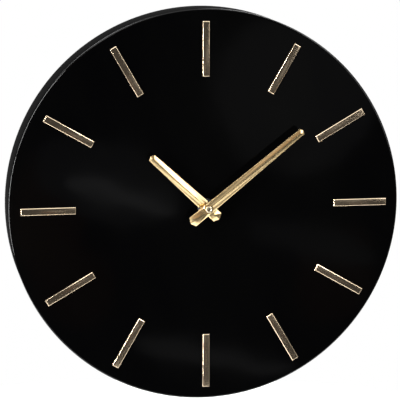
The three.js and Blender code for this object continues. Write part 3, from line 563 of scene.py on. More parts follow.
STUDS, STUD_RADIUS, STUD_END = stud_places()
STUD_ROOM = 0.3 * MM
STUD_ROUND = 0.2 * MM
case = meshed("case_pan", turned(case_profile(), FINE))
drill_from = dial.front - sheet
drill_to = dial.front + 2 * sheet
for hour in range(12):
    turn = math.radians(30 * hour)
    for distance in STUDS:
        place = (distance * math.sin(turn), distance * math.cos(turn))
        drill = rod(STUD_RADIUS + STUD_ROOM, drill_from, drill_to, place, COARSE)
        combine(case, drill, "DIFFERENCE")
case.matrix_world = axis_place
put(smooth(case, 28), "case", "black_lacquer", "dial_case", LACQUER, PRIMER)
past_middle = sheet * 0.6
for face in case.data.polygons:
    x, y, z = face.center
    inside = dial.front + past_middle < y < case_high.y - past_middle
    face.material_index = int(inside and math.hypot(x, z) < dial.radius - past_middle)
print("primed faces:", sum(face.material_index for face in case.data.polygons))
print("case faces:", len(case.data.polygons))

# %% [markdown]
# ## Polished gold
#
# The hour bars are lacquered brass, buffed along their length. Gold metal takes its whole look
# from what it reflects, so the base colour is plain and the roughness carries the story: fine
# buffing lines along the bar, a few deeper hairlines, and slightly brighter metal where the
# lacquer is thin.

# %% The bars' finish


def polished_gold():
    finish = Finish("polished_gold", Metallic=1.0)
    along = finish.turned(0, stretch=(0.05, 0.05, 1.6))
    lines = finish.noise(1.0, detail=3, rough=0.6, at=along)
    hairs = finish.noise(2.6, detail=1, at=along)
    cloud = finish.noise(0.09, detail=2)
    deep = (hairs - 0.66).clamp() * 2.4
    colour = finish.mix(cloud, rgb(0.76, 0.59, 0.40), rgb(0.88, 0.71, 0.51))
    gloss = 0.10 + lines * 0.10 + deep * 0.25 + (cloud - 0.5) * 0.05
    bump = finish.bump(lines, 0.004)
    return finish.feed(Base_Color=colour, Roughness=gloss.clamp(), Normal=bump)


POLISHED_GOLD = polished_gold()
print("made", POLISHED_GOLD.name)

# %% [markdown]
# ## Hour bars
#
# Each bar is a straight stick with its top edges milled off at 45 degrees, standing on two studs
# that pass through the dial. One mesh is built lying along +Z and twelve objects share it, each
# turned about the axis by its hour. Because a finish reads each object's own coordinates, the
# buffing lines follow every bar.

# %% Build and place the bars


def bar_mesh():
    """A chamfered bar on two studs, measured on the CAD bar at twelve o'clock."""
    low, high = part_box("hour_marker_12")
    inner, outer = low.z - dial.middle.z, high.z - dial.middle.z
    half = (high.x - low.x) / 2
    top = low.y
    top_points = [p for p in from_axis("hour_marker_12") if abs(p.y - top) < SAME_LEVEL]
    chamfer = half - max(p.x for p in top_points)
    bar = meshed("bar", prism(
        [(-half, inner), (half, inner), (half, outer), (-half, outer)], top, dial.front
    ))
    shape = bmesh.new()
    shape.from_mesh(bar.data)
    rim = [e for e in shape.edges if all(abs(v.co.y - top) < SAME_LEVEL for v in e.verts)]
    bmesh.ops.bevel(shape, geom=rim, offset=chamfer, segments=1, affect="EDGES")
    shape.to_mesh(bar.data)
    shape.free()
    rounded(bar, 0.12 * MM, 3, 20)
    for distance in STUDS:
        stud = rod(STUD_RADIUS, dial.front - sheet, STUD_END, (0, distance), COARSE, STUD_ROUND)
        combine(bar, stud, "UNION")
    smooth(bar, 30)
    mesh = bar.data
    bpy.data.objects.remove(bar)
    return mesh


BAR = bar_mesh()
for hour in range(1, 13):
    node = f"hour_marker_{hour:02d}"
    bar = bpy.data.objects.new(f"hour_bar_{hour:02d}", BAR.copy())
    scene.collection.objects.link(bar)
    bar.matrix_world = axis_place @ Matrix.Rotation(math.radians(30 * hour), 4, "Y")
    put(bar, "case", "polished_gold", node, POLISHED_GOLD)
print("bar faces:", len(BAR.polygons))

# %% [markdown]
# ## Satin gold
#
# The hands are aluminium sheet, brushed along their length and anodised pale gold. The brushing
# is stronger than on the bars, so each half of a folded hand shows one broad, soft reflection.

# %% The hands' finish


def satin_gold():
    finish = Finish("satin_gold", Metallic=1.0)
    along = finish.turned(0, stretch=(0.07, 0.07, 2.2))
    lines = finish.noise(1.0, detail=4, rough=0.65, at=along)
    cloud = finish.noise(0.06, detail=2)
    colour = finish.mix(cloud, rgb(0.88, 0.65, 0.33), rgb(0.96, 0.72, 0.38))
    gloss = 0.20 + lines * 0.10 + (cloud - 0.5) * 0.03
    bump = finish.bump(lines, 0.0025)
    return finish.feed(Base_Color=colour, Roughness=gloss.clamp(), Normal=bump)


SATIN_GOLD = satin_gold()
print("made", SATIN_GOLD.name)

# %% [markdown]
# ## Hands
#
# A hand is blanked from half-millimetre sheet and folded down its middle, so a ridge runs from
# end to end and each end closes with two small triangles. Round the shaft the fold is pressed
# flat again and bored. The outline, the ridge and the rest angle are measured on the CAD hand.

# %% Measure and build a hand


END_LENGTH = 8 * MM


def hand_facts(node):
    """The rest angle of a CAD hand, and its points seen from the axis with the hand along +Z."""
    points = from_axis(node)
    tip = max(points, key=lambda p: math.hypot(p.x, p.z))
    angle = math.atan2(tip.x, tip.z)
    upright = Matrix.Rotation(-angle, 4, "Y")
    points = [upright @ p for p in points]
    back = max(p.y for p in points)
    facts = SimpleNamespace(angle=angle, back=back, ends=[])
    for sign in (-1, 1):
        end = max(points, key=lambda p: sign * p.z)
        near = [p for p in points if abs(p.z - end.z) < END_LENGTH]
        shoulder = max(near, key=lambda p: abs(p.x))
        ridge = min(near, key=lambda p: p.y)
        facts.ends.append((end.z, (abs(shoulder.x), shoulder.z), (ridge.z, ridge.y)))
    return facts


def folded_blank(facts, thick):
    """The folded sheet as a closed mesh with the hand along +Z, before the shaft hole."""
    shape = bmesh.new()
    edge_y = facts.back - thick
    layers = []
    for lift in (0, thick):
        layer = []
        for end, (half, shoulder), (ridge_z, ridge_y) in facts.ends:
            layer.append([
                shape.verts.new((0, edge_y + lift, end)),
                shape.verts.new((-half, edge_y + lift, shoulder)),
                shape.verts.new((half, edge_y + lift, shoulder)),
                shape.verts.new((0, ridge_y + lift, ridge_z)),
            ])
        layers.append(layer)
    for tail, tip in layers:
        shape.faces.new((tail[1], tail[3], tip[3], tip[1]))
        shape.faces.new((tail[2], tail[3], tip[3], tip[2]))
        for end in (tail, tip):
            shape.faces.new((end[0], end[1], end[3]))
            shape.faces.new((end[0], end[2], end[3]))
    loops = [[tail[0], tail[2], tip[2], tip[0], tip[1], tail[1]] for tail, tip in layers]
    for i in range(6):
        j = (i + 1) % 6
        shape.faces.new((loops[0][i], loops[0][j], loops[1][j], loops[1][i]))
    bmesh.ops.recalc_face_normals(shape, faces=shape.faces)
    return shape


FOLD_RADIUS = 0.25 * MM
HAND_SHEET = 0.5 * MM
BOSS_RADIUS = 4.75 * MM
BOSS_BREAK = 0.1 * MM
BOSS_LAP = 0.05 * MM


def hand(node, name, boss_radius, bore_radius):
    """Builds one hand and puts it at its rest angle."""
    facts = hand_facts(node)
    made = meshed(name, folded_blank(facts, HAND_SHEET))
    shape = bmesh.new()
    shape.from_mesh(made.data)
    folds = [e for e in shape.edges if 8 < math.degrees(e.calc_face_angle(0)) < 60]
    bmesh.ops.bevel(shape, geom=folds, offset=FOLD_RADIUS, segments=4, affect="EDGES", profile=0.5)
    shape.to_mesh(made.data)
    shape.free()
    front = facts.back - 2 * HAND_SHEET
    high = min(ridge_y for _, _, (_, ridge_y) in facts.ends) - HAND_SHEET
    combine(made, rod(boss_radius, high, facts.back + HAND_SHEET), "DIFFERENCE")
    ring = [
        (bore_radius, facts.back),
        (bore_radius, front),
        (boss_radius - BOSS_BREAK, front),
        (boss_radius + BOSS_LAP, front + BOSS_BREAK),
        (boss_radius + BOSS_LAP, facts.back),
    ]
    combine(made, turned(ring, MEDIUM), "UNION")
    rounded(made, 0.07 * MM, 2, 50)
    smooth(made, 30)
    made.matrix_world = axis_place @ Matrix.Rotation(facts.angle, 4, "Y")
    return made, facts


hour_bore, _ = radii_at("hour_hand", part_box("hour_hand")[1].y)
minute_bore, _ = radii_at("minute_hand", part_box("minute_hand")[1].y)
hour_hand, hour_facts = hand("hour_hand", "hour_hand_folded", BOSS_RADIUS, hour_bore)
put(hour_hand, "hour_hand_body", "satin_gold", "hour_hand", SATIN_GOLD)
minute_hand, minute_facts = hand("minute_hand", "minute_hand_folded", BOSS_RADIUS, minute_bore)
put(minute_hand, "minute_hand_body", "satin_gold", "minute_hand", SATIN_GOLD)
print("hour hand at", round(math.degrees(hour_facts.angle), 1), "degrees,",
      "minute hand at", round(math.degrees(minute_facts.angle), 1))

# %% [markdown]
# ## Turned brass
#
# The nut and the arbors are turned from brass rod and nickelled to a pale, silvery gold. A lathe
# leaves fine rings about the axis, so the roughness and a small bump follow the distance from it.

# %% The nut's finish


def turned_brass():
    finish = Finish("turned_brass", Metallic=1.0)
    x, _, z = finish.split(finish.position)
    middle_z = dial.middle.z / MM
    reach = (x * x + (z - middle_z) * (z - middle_z)) ** 0.5
    rings = finish.noise_along(reach, 5.0)
    cloud = finish.noise(0.8, detail=2)
    colour = finish.mix(cloud, rgb(0.72, 0.62, 0.44), rgb(0.82, 0.73, 0.55))
    gloss = 0.14 + rings * 0.12 + (cloud - 0.5) * 0.06
    return finish.feed(
        Base_Color=colour, Roughness=gloss.clamp(), Normal=finish.bump(rings, 0.004)
    )


TURNED_BRASS = turned_brass()

# %% [markdown]
# ## The nut on the minute arbor
#
# A small round nut holds the minute hand down. It is open in the middle, where the hollow arbor
# ends just below its face. It is turned like the case, from a profile with small rounds on every
# corner.

# %% Turn the nut
nut_low, nut_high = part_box("hand_nut")
nut_bore, nut_outer = radii_at("hand_nut", nut_high.y)
NUT_ROUND = 0.49 * (nut_outer - nut_bore)
NUT_FOOT = 0.12 * MM
outer_round = (nut_outer - NUT_ROUND, nut_low.y + NUT_ROUND)
inner_round = (nut_bore + NUT_ROUND, nut_low.y + NUT_ROUND)
nut_profile = [
    (nut_bore, nut_high.y),
    *arc(inner_round, NUT_ROUND, 180, 270, 6),
    *arc(outer_round, NUT_ROUND, -90, 0, 6),
    (nut_outer, nut_high.y - NUT_FOOT),
    (nut_outer - NUT_FOOT, nut_high.y),
]
nut = meshed("hand_nut_turned", turned(nut_profile, MEDIUM))
nut.matrix_world = axis_place
put(smooth(nut), "minute_hand_body", "brass", "hand_nut", TURNED_BRASS)
print("nut radius", round(nut_outer * 1000, 2), "mm")

# %% [markdown]
# ## Plated steel, plastics and the small finishes
#
# The back of a clock is a working side. The hanger plate is zinc-plated steel with a faint
# crystal pattern. The movement is moulded in black plastic with an eroded, slightly matt skin.
# Inside it are white and grey gears, copper wire and a green board, each with its own short
# recipe.

# %% Finishes of the back


def zinc_steel():
    finish = Finish("zinc_steel", Metallic=1.0)
    settings = {"feature": "F1", "voronoi_dimensions": "3D"}
    crystals = finish.root.node(
        "ShaderNodeTexVoronoi", settings, 1, Vector=finish.position, Scale=0.28
    )
    grey = finish.split(crystals)[0]
    fine = finish.noise(1.6, detail=4, rough=0.6)
    stain = finish.noise(0.07, detail=3)
    colour = finish.mix(stain, rgb(0.50, 0.52, 0.55), rgb(0.62, 0.62, 0.60))
    gloss = 0.30 + grey * 0.12 + (fine - 0.5) * 0.10
    bump = finish.bump(fine, 0.006)
    return finish.feed(Base_Color=colour, Roughness=gloss.clamp(), Normal=bump)


def moulded_plastic(name, dark, light, gloss, grain):
    """A moulded plastic: a fine eroded skin, faint flow marks and rubbed patches."""
    finish = Finish(name)
    skin = finish.noise(4.0 / grain, detail=2, rough=0.6)
    flow = finish.noise(0.05, detail=2, at=finish.turned(18, stretch=(1, 1, 4)))
    rubbed = (finish.noise(0.25, detail=4, rough=0.7) - 0.56).clamp() * 1.6
    colour = finish.mix(flow, rgb(*dark), rgb(*light))
    shine = gloss + (flow - 0.5) * 0.10 - rubbed * 0.5
    bump = finish.bump(skin, 0.018 * grain)
    return finish.feed(Base_Color=colour, Roughness=shine.clamp(), Normal=bump)


def soft_rubber():
    finish = Finish("soft_rubber")
    dust = finish.noise(1.3, detail=5, rough=0.7)
    colour = finish.mix(dust, rgb(0.012, 0.012, 0.012), rgb(0.030, 0.029, 0.028))
    bump = finish.bump(finish.noise(3.0, detail=3), 0.03)
    return finish.feed(Base_Color=colour, Roughness=0.75 + dust * 0.2, Normal=bump)


WIRE_PITCH = 0.12
BAND_END = 0.36
LINE_END = 0.385


def wound_copper():
    """Enamelled wire, its turns side by side along the coil."""
    finish = Finish("wound_copper", Metallic=1.0)
    height = finish.split(finish.position)[2]
    turns = height.math("SINE", height * (2 * math.pi / WIRE_PITCH)) * 0.5 + 0.5
    layers = finish.noise(0.9, detail=2)
    colour = finish.mix(layers, rgb(0.48, 0.17, 0.07), rgb(0.68, 0.29, 0.12))
    bump = finish.bump(turns, 0.05)
    return finish.feed(Base_Color=colour, Roughness=0.22 + layers * 0.15, Normal=bump)


def sintered_magnet():
    finish = Finish("sintered_magnet", Metallic=0.7)
    grain = finish.noise(6.0, detail=3)
    colour = finish.mix(grain, rgb(0.09, 0.09, 0.10), rgb(0.17, 0.17, 0.18))
    bump = finish.bump(grain, 0.01)
    return finish.feed(Base_Color=colour, Roughness=0.35 + grain * 0.2, Normal=bump)


def circuit_green():
    """Green solder mask over copper tracks laid out on a square grid."""
    finish = Finish("circuit_green")
    settings = {"feature": "DISTANCE_TO_EDGE", "voronoi_dimensions": "3D"}
    grid = finish.root.node(
        "ShaderNodeTexVoronoi", settings, 0, Vector=finish.position, Scale=0.45
    )
    track = (grid < 0.09) * 1.0
    weave = finish.noise(3.0, detail=2)
    bare = finish.mix(weave, rgb(0.010, 0.085, 0.035), rgb(0.014, 0.115, 0.045))
    colour = finish.mix(track, bare, rgb(0.035, 0.21, 0.075))
    bump = finish.bump(track, 0.03)
    return finish.feed(Base_Color=colour, Roughness=0.28 + weave * 0.1, Normal=bump)


def battery_sleeve():
    """A printed shrink sleeve: a coppery band at the positive end, a pale line, then dark blue."""
    finish = Finish("battery_sleeve")
    low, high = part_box("battery")
    share = (finish.split(finish.position)[0] - low.x / MM) * (MM / (high.x - low.x))
    band = share < BAND_END
    line = (share > BAND_END) * (share < LINE_END)
    wrinkle = finish.noise(0.35, detail=3, at=finish.turned(0, stretch=(4, 1, 1)))
    speck = finish.noise(5.0, detail=2)
    blue = finish.mix(speck, rgb(0.010, 0.020, 0.050), rgb(0.016, 0.030, 0.070))
    copper = finish.mix(speck, rgb(0.55, 0.27, 0.10), rgb(0.66, 0.34, 0.14))
    colour = finish.mix(line, finish.mix(band, blue, copper), rgb(0.62, 0.61, 0.58))
    bump = finish.bump(wrinkle, 0.03)
    return finish.feed(
        Base_Color=colour, Metallic=band * 0.85, Roughness=0.20 + wrinkle * 0.14, Normal=bump
    )


ZINC_STEEL = zinc_steel()
BLACK_PLASTIC = moulded_plastic(
    "black_plastic", (0.022, 0.022, 0.024), (0.040, 0.040, 0.042), 0.46, 1.0
)
GREY_PLASTIC = moulded_plastic("grey_plastic", (0.20, 0.21, 0.22), (0.27, 0.28, 0.29), 0.42, 0.7)
WHITE_PLASTIC = moulded_plastic("white_plastic", (0.66, 0.65, 0.61), (0.76, 0.75, 0.71), 0.36, 0.5)
SOFT_RUBBER = soft_rubber()
WOUND_COPPER = wound_copper()
SINTERED_MAGNET = sintered_magnet()
CIRCUIT_GREEN = circuit_green()
BATTERY_SLEEVE = battery_sleeve()
print("finishes:", len(bpy.data.materials))

# %% [markdown]
# ## Hanger plate
#
# A steel plate is spot-welded inside the lip at twelve o'clock, and its keyhole drops over a
# screw head. The plate's corners are cut round and its edges are lightly broken. Each weld is a
# shallow dimple, left where the electrode pressed. The keyhole is one outline: a wide round
# below, a narrow slot above.

# %% Build the hanger plate
plate_low, plate_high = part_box("hanger_plate")
PLATE_CORNER = 3 * MM
WELD_RADIUS = 2.2 * MM
WELD_DEPTH = 0.25 * MM
WELD_INSET = 7 * MM
WELD_PITCH = 2.5 * WELD_INSET
KEYHOLE_STEPS = 40


def keyhole_sizes():
    """The keyhole's entry and slot, measured on the CAD plate's inner vertices."""
    level = [v.co for v in nodes["hanger_plate"].data.vertices]
    inside = [p for p in level if plate_low.z + MM < p.z < plate_high.z - MM]
    entry_radius = max(p.x for p in inside)
    entry_z = sum(p.z for p in inside if abs(p.x) > 0.99 * entry_radius)
    entry_z /= len([p for p in inside if abs(p.x) > 0.99 * entry_radius])
    top = max(p.z for p in inside)
    return entry_radius, entry_z, top


def rounded_corners(low, high, size, steps=6):
    """An outline of a rectangle with round corners."""
    points = []
    centres = [
        (high.x - size, high.z - size, 0),
        (low.x + size, high.z - size, 90),
        (low.x + size, low.z + size, 180),
        (high.x - size, low.z + size, 270),
    ]
    for x, z, start in centres:
        for step in range(steps + 1):
            turn = math.radians(start + 90 * step / steps)
            points.append((x + size * math.cos(turn), z + size * math.sin(turn)))
    return points


def keyhole_outline():
    entry_radius, entry_z, top = keyhole_sizes()
    slot_radius = top
    join_turn = math.asin(slot_radius / entry_radius)
    points = []
    for step in range(KEYHOLE_STEPS + 1):
        turn = math.pi / 2 + join_turn + (2 * math.pi - 2 * join_turn) * step / KEYHOLE_STEPS
        points.append((entry_radius * math.cos(turn), entry_z + entry_radius * math.sin(turn)))
    for step in range(KEYHOLE_STEPS // 2 + 1):
        turn = math.pi * step / (KEYHOLE_STEPS // 2)
        points.append((slot_radius * math.cos(turn), slot_radius * math.sin(turn)))
    return points


hanger = meshed("hanger_plate_welded", prism(
    rounded_corners(plate_low, plate_high, PLATE_CORNER), plate_low.y, plate_high.y
))
keyhole = prism(keyhole_outline(), plate_low.y - MM, plate_high.y + MM)
combine(hanger, keyhole, "DIFFERENCE")
for side in (-1, 1):
    for row in (0, 1):
        x = side * (plate_high.x - WELD_INSET)
        z = plate_high.z - WELD_INSET - row * WELD_PITCH
        weld = rod(WELD_RADIUS, plate_high.y - WELD_DEPTH, plate_high.y + MM, (x, z), 32)
        combine(hanger, weld, "DIFFERENCE")
rounded(hanger, 0.2 * MM, 2)
put(smooth(hanger), "case", "zinc_steel", "hanger_plate", ZINC_STEEL)
print("hanger faces:", len(hanger.data.polygons))

# %% [markdown]
# ## Movement
#
# The movement is a bought-in module in a moulded shell. Its shape is already right in the CAD
# model, but moulded edges are never sharp. So each outer part is copied from its CAD node, its
# flat triangles are merged into whole faces, and its edges are rounded. A stand-in has sharp
# edges; these small rounds catch the light.

# %% Copy and round the outer parts


def copy_of(node, name):
    """A new object with a CAD node's shape, its doubled vertices merged."""
    shape = bmesh.new()
    shape.from_mesh(nodes[node].data)
    bmesh.ops.remove_doubles(shape, verts=shape.verts, dist=0.002 * MM)
    return meshed(name, shape)


ARROW_REACH = 9.2 * MM
ARROW_WIDTH = 0.7 * MM
ARROW_HEIGHT = 0.25 * MM
ARROW_WING = 1.8 * ARROW_WIDTH
ARROW_SWEEP = 62
ARROW_HEAD = 16


def arrow_outline(centre, start, end, head):
    """A curved arrow about a point: a band with a wide head at its end."""
    steps = 14
    half = ARROW_WIDTH / 2
    outer, inner = [], []
    for step in range(steps + 1):
        turn = math.radians(start + (end - start) * step / steps)
        for line, r in ((outer, ARROW_REACH + half), (inner, ARROW_REACH - half)):
            line.append((centre[0] + r * math.cos(turn), centre[1] + r * math.sin(turn)))
    tip_turn = math.radians(end + head)
    tip = (
        centre[0] + ARROW_REACH * math.cos(tip_turn),
        centre[1] + ARROW_REACH * math.sin(tip_turn),
    )
    wings = []
    for r in (ARROW_REACH + ARROW_WING, ARROW_REACH - ARROW_WING):
        turn = math.radians(end)
        wings.append((centre[0] + r * math.cos(turn), centre[1] + r * math.sin(turn)))
    return [*outer, wings[0], tip, wings[1], *reversed(inner)]


knob_low, knob_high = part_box("setting_knob")
knob_middle = ((knob_low.x + knob_high.x) / 2, (knob_low.z + knob_high.z) / 2)
cover = copy_of("movement_cover", "movement_cover_moulded")
_, cover_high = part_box("movement_cover")
for start in (-50, 130):
    arrow = prism(
        arrow_outline(knob_middle, start, start + ARROW_SWEEP, ARROW_HEAD),
        cover_high.y - ARROW_HEIGHT,
        cover_high.y + ARROW_HEIGHT,
    )
    combine(cover, arrow, "UNION")
rounded(cover, 0.12 * MM, 2)
put(smooth(cover), "case", "black_plastic", "movement_cover", BLACK_PLASTIC)

OUTER_PARTS = [
    ("movement_housing", "case", "black_plastic", BLACK_PLASTIC, 0.25),
    ("setting_knob", "setting_knob_body", "black_plastic", BLACK_PLASTIC, 0.15),
    ("fixing_nut", "case", "black_plastic", BLACK_PLASTIC, 0.3),
    ("fixing_washer", "case", "black_plastic", BLACK_PLASTIC, 0.12),
    ("dial_gasket", "case", "rubber", SOFT_RUBBER, 0.12),
    ("hour_hand_collet", "hour_hand_body", "brass", TURNED_BRASS, 0.1),
    ("contact_positive", "case", "zinc_steel", ZINC_STEEL, 0.06),
    ("contact_negative", "case", "zinc_steel", ZINC_STEEL, 0.06),
]
for node, body, slot_name, finish, width in OUTER_PARTS:
    part = rounded(copy_of(node, f"{node}_rounded"), width * MM)
    put(smooth(part), body, slot_name, node, finish)
    print(node, len(part.data.polygons), "faces")

# %% [markdown]
# ## Battery
#
# One AA cell lies in the bay. It is a drawn steel can in a printed shrink sleeve, whose ends roll
# over the shoulders and leave the ends bare. Here the sleeve's finish covers the ends too. The
# cell is turned from a profile about its own long axis: the nub, the insulating ring, the
# sleeve's rolled edge, the plain side and the flat negative end.

# %% Turn the battery
cell_low, cell_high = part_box("battery")
cell_radius = (cell_high.z - cell_low.z) / 2
cell_middle = (cell_low + cell_high) / 2
NUB_RADIUS = 2.75 * MM
NUB_LENGTH = 1.2 * MM
SLEEVE_ROLL = 0.5 * MM
SLEEVE_LAP = 1.4 * MM
CAP_DROP = 0.12 * MM


def battery_profile():
    """The (radius, distance along) profile, from the nub to the flat end."""
    length = cell_high.x - cell_low.x
    shoulder = NUB_LENGTH
    tiny = 0.02 * MM
    nub_round = 0.3 * MM
    return [
        (tiny, 0),
        *arc((NUB_RADIUS - nub_round, nub_round), nub_round, -90, 0, 5),
        (NUB_RADIUS, shoulder + CAP_DROP),
        (cell_radius - SLEEVE_LAP, shoulder + CAP_DROP),
        (cell_radius - SLEEVE_LAP, shoulder),
        *arc((cell_radius - SLEEVE_ROLL, shoulder + SLEEVE_ROLL), SLEEVE_ROLL, -90, 0, 6),
        *arc((cell_radius - SLEEVE_ROLL, length - SLEEVE_ROLL), SLEEVE_ROLL, 0, 90, 6),
        (cell_radius - SLEEVE_LAP, length),
        (cell_radius - SLEEVE_LAP, length - CAP_DROP),
        (tiny, length - CAP_DROP),
    ]


cell_shape = turned(battery_profile(), MEDIUM)
lay_down = Matrix.Rotation(math.radians(-90), 4, "Z")
stand = Matrix.Translation((cell_low.x, cell_middle.y, cell_middle.z))
bmesh.ops.transform(cell_shape, matrix=stand @ lay_down, verts=cell_shape.verts)
bmesh.ops.recalc_face_normals(cell_shape, faces=cell_shape.faces)
battery = meshed("battery_cell", cell_shape)
put(smooth(battery), "battery_body", "battery_sleeve", "battery", BATTERY_SLEEVE)
print("battery", round(cell_radius * 2000, 1), "mm across")

# %% [markdown]
# ## Inside the movement
#
# The gears, the coil and the board keep their CAD shapes, which are already exact. They only need
# a finish. A short table says which finish each one takes.

# %% Finishes of the inner nodes
INNER_FINISHES = {
    "train_bridge": GREY_PLASTIC,
    "hour_wheel": TURNED_BRASS,
    "minute_arbor": TURNED_BRASS,
    "centre_wheel": TURNED_BRASS,
    "motion_wheel": WHITE_PLASTIC,
    "third_wheel": WHITE_PLASTIC,
    "seconds_wheel": WHITE_PLASTIC,
    "step_wheel": WHITE_PLASTIC,
    "coil_bobbin": WHITE_PLASTIC,
    "rotor": SINTERED_MAGNET,
    "stator": ZINC_STEEL,
    "coil_core": ZINC_STEEL,
    "quartz_crystal": ZINC_STEEL,
    "coil_winding": WOUND_COPPER,
    "circuit_board": CIRCUIT_GREEN,
    "driver_chip": BLACK_PLASTIC,
}
for node, finish in INNER_FINISHES.items():
    nodes[node].data.materials.clear()
    nodes[node].data.materials.append(finish)
shown = [name for name, thing in nodes.items() if not thing.hide_render]
print("nodes still without a finish:", [name for name in shown if name not in INNER_FINISHES])

# %% [markdown]
# ## Studio
#
# Gold shows only what is around it, so the studio is built for its reflections. In front, where
# the flat dial looks, it is nearly dark, so the dial stays black. The floor is a pale disc that
# glows a little by itself, so it stays pale from every side. The lights are hidden from the
# camera.

# %% Floor
FLOOR_DROP = 0.26
FLOOR_RADIUS = 0.78
FLOOR_SHIFT = 0.22
floor_level = case_low.z - FLOOR_DROP


def pale_floor():
    finish = Finish("pale_floor", Emission_Strength=0.22, Emission_Color=rgb(1, 1, 1))
    grain = finish.noise(0.004, detail=3)
    colour = finish.mix(grain, rgb(0.86, 0.86, 0.86), rgb(0.90, 0.90, 0.895))
    return finish.feed(Base_Color=colour, Roughness=0.8)


disc = bmesh.new()
bmesh.ops.create_circle(disc, cap_ends=True, segments=FINE, radius=FLOOR_RADIUS)
floor = meshed("floor", disc)
floor.location = (dial.middle.x, FLOOR_SHIFT, floor_level)
floor.data.materials.append(pale_floor())
print("floor at", round(floor_level, 3))

# %% [markdown]
# A light's brightness as a mirror sees it is its power over its area. So each light below is
# given by how bright it should look, and the power is worked out from that and its size.
#
# A tall soft box on the right lights the hands, and a weak warm one in front keeps the gold from
# looking grey. A big one hangs overhead, and a small panel lies at floor level and faces up.
# Narrow, bright strips draw the pale line along the rim, and two lights behind show the back.
# Glossy lacquer mirrors such strips: from the right and above, the high left one is a bright
# patch on the dial.

# %% Lights


def soft_box(
    name, azimuth, elevation, distance, width, height, brightness, tint=(1, 1, 1), aim=None
):
    """A rectangular light at angles in degrees that looks at the dial's middle, or along aim."""
    light = bpy.data.lights.new(name, "AREA")
    light.shape = "RECTANGLE"
    light.size = width
    light.size_y = height
    light.color = tint
    light.energy = brightness * math.pi * width * height
    place = around(math.radians(azimuth), math.radians(elevation), distance)
    made = aimed(light, place, place + aim if aim else dial.middle)
    made.visible_camera = False
    return made


UP = Vector((0, 0, 1))
WARM = (1.0, 0.58, 0.28)
soft_box("key_right", 38, 12, 2.2, 0.7, 1.1, 6.0)
soft_box("front_fill", -12, 19, 2.6, 1.3, 0.55, 0.32, WARM)
soft_box("overhead", 0, 88, 1.9, 2.4, 2.4, 1.4)
soft_box("floor_panel", -20, -33.4, 0.80, 0.42, 0.26, 0.42, aim=UP)
soft_box("rim_left", -55, -7, 2.0, 0.32, 1.0, 68.0)
soft_box("rim_left_high", -51, 22, 2.0, 0.40, 1.0, 44.0)
soft_box("rim_upper_left", -33, 47, 2.2, 0.6, 0.5, 8.0)
soft_box("rim_upper_right", 62, 42, 2.2, 0.6, 0.8, 12.0)
soft_box("back_left", -150, 42, 2.2, 1.2, 1.0, 5.0)
soft_box("back_right", 148, 32, 2.2, 1.2, 1.2, 5.0)
print("lights:", len(bpy.data.lights))

# %% [markdown]
# The lacquer also shows faint, slanting streaks: dim things far behind the camera. Each is a long
# thin light. A flat dial is a mirror, so a streak's place in the room is found by following the
# line from the camera to a point on the dial and reflecting it back to the plane where it hangs.
# Three brown ones stand for wooden furniture beside the bars at four, eight and nine. They are
# kept weak, because brighter ones would show red on the dial, so they warm those bars only a
# little.

# %% Streaks in the lacquer
STREAK_DEPTH = -3.0


def behind_camera(across, up):
    """The point on the streak plane that the dial reflects at (across, up), in dial radii."""
    spot = dial.middle + Vector((across, 0, up)) * dial.radius
    step = spot - camera_place
    step.y = -step.y
    return spot + step * ((STREAK_DEPTH - spot.y) / step.y)


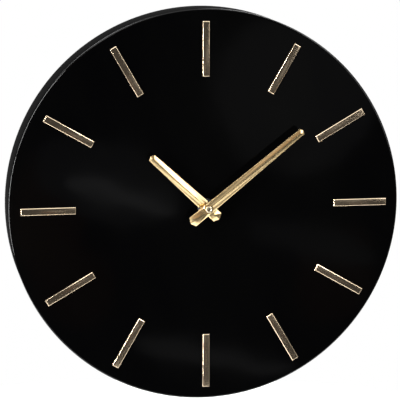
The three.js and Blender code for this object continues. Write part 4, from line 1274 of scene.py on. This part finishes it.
def streak(name, first, last, width, brightness, tint=(1, 1, 1)):
    """A thin light reflected as a straight streak from one spot on the dial to another."""
    ends = behind_camera(*first), behind_camera(*last)
    run = ends[1] - ends[0]
    light = bpy.data.lights.new(name, "AREA")
    light.shape = "ELLIPSE"
    light.size = run.length
    light.size_y = width
    light.color = tint
    light.energy = brightness * math.pi * run.length * width
    made = bpy.data.objects.new(name, light)
    across = run.normalized()
    forward = Vector((0, 1, 0))
    frame_axes = Matrix((across, forward.cross(across) * -1, -forward)).transposed()
    made.matrix_world = Matrix.Translation((ends[0] + ends[1]) / 2) @ frame_axes.to_4x4()
    scene.collection.objects.link(made)
    made.visible_camera = False
    return made


streak("streak_left", (-0.70, 0.16), (-0.16, -0.02), 0.040, 0.55)
streak("streak_left_glow", (-0.86, 0.25), (-0.14, 0.04), 0.20, 0.10)
streak("streak_low", (-0.40, -0.70), (0.48, -0.88), 0.05, 0.32)
streak("streak_right", (0.22, -0.12), (0.90, -0.30), 0.09, 0.11)
streak("streak_upper", (0.05, 0.72), (0.86, 0.42), 0.40, 0.14)
WOOD = (1.0, 0.36, 0.07)
streak("wood_left", (-1.00, 0.00), (-0.60, -0.02), 0.30, 0.06, WOOD)
streak("wood_low_left", (-0.86, -0.46), (-0.50, -0.28), 0.26, 0.05, WOOD)
streak("wood_low_right", (0.50, -0.28), (0.86, -0.46), 0.26, 0.05, WOOD)

# %% [markdown]
# Where the camera looks straight at it, the world is white, so the background is clean. For every
# other ray it is a room with pale side walls, floor to ceiling, and darkness in front and behind.
# The pale band is what the bevels of the bars reflect, so each bar gets a bright outline.

# %% World
FRONT_SHADE = 0.05
BACK_SHADE = 0.04
BAND_SHADE = 0.56
world = bpy.data.worlds.new("studio")
scene.world = world
world.use_nodes = True
world.node_tree.nodes.clear()
world_output = world.node_tree.nodes.new("ShaderNodeOutputWorld")
direction = Wire(world.node_tree, world.node_tree.nodes.new("ShaderNodeTexCoord").outputs[0])
toward_wall = direction.node("ShaderNodeSeparateXYZ", None, 1, i0=direction) * 0.5 + 0.5
room = direction.node("ShaderNodeValToRGB", {"ramp": [
    (0.20, FRONT_SHADE),
    (0.34, BAND_SHADE),
    (0.66, BAND_SHADE),
    (0.78, BACK_SHADE),
]}, Fac=toward_wall)
straight = direction.node("ShaderNodeLightPath", None, 0)
colours = {"data_type": "RGBA"}
shade = direction.node("ShaderNodeMix", colours, 2, i0=straight, i6=room, i7=rgb(1, 1, 1))
background = direction.node("ShaderNodeBackground", None, Color=shade)
world.node_tree.links.new(background.socket, world_output.inputs["Surface"])
scene.view_settings.view_transform = "Standard"
print("world ready")
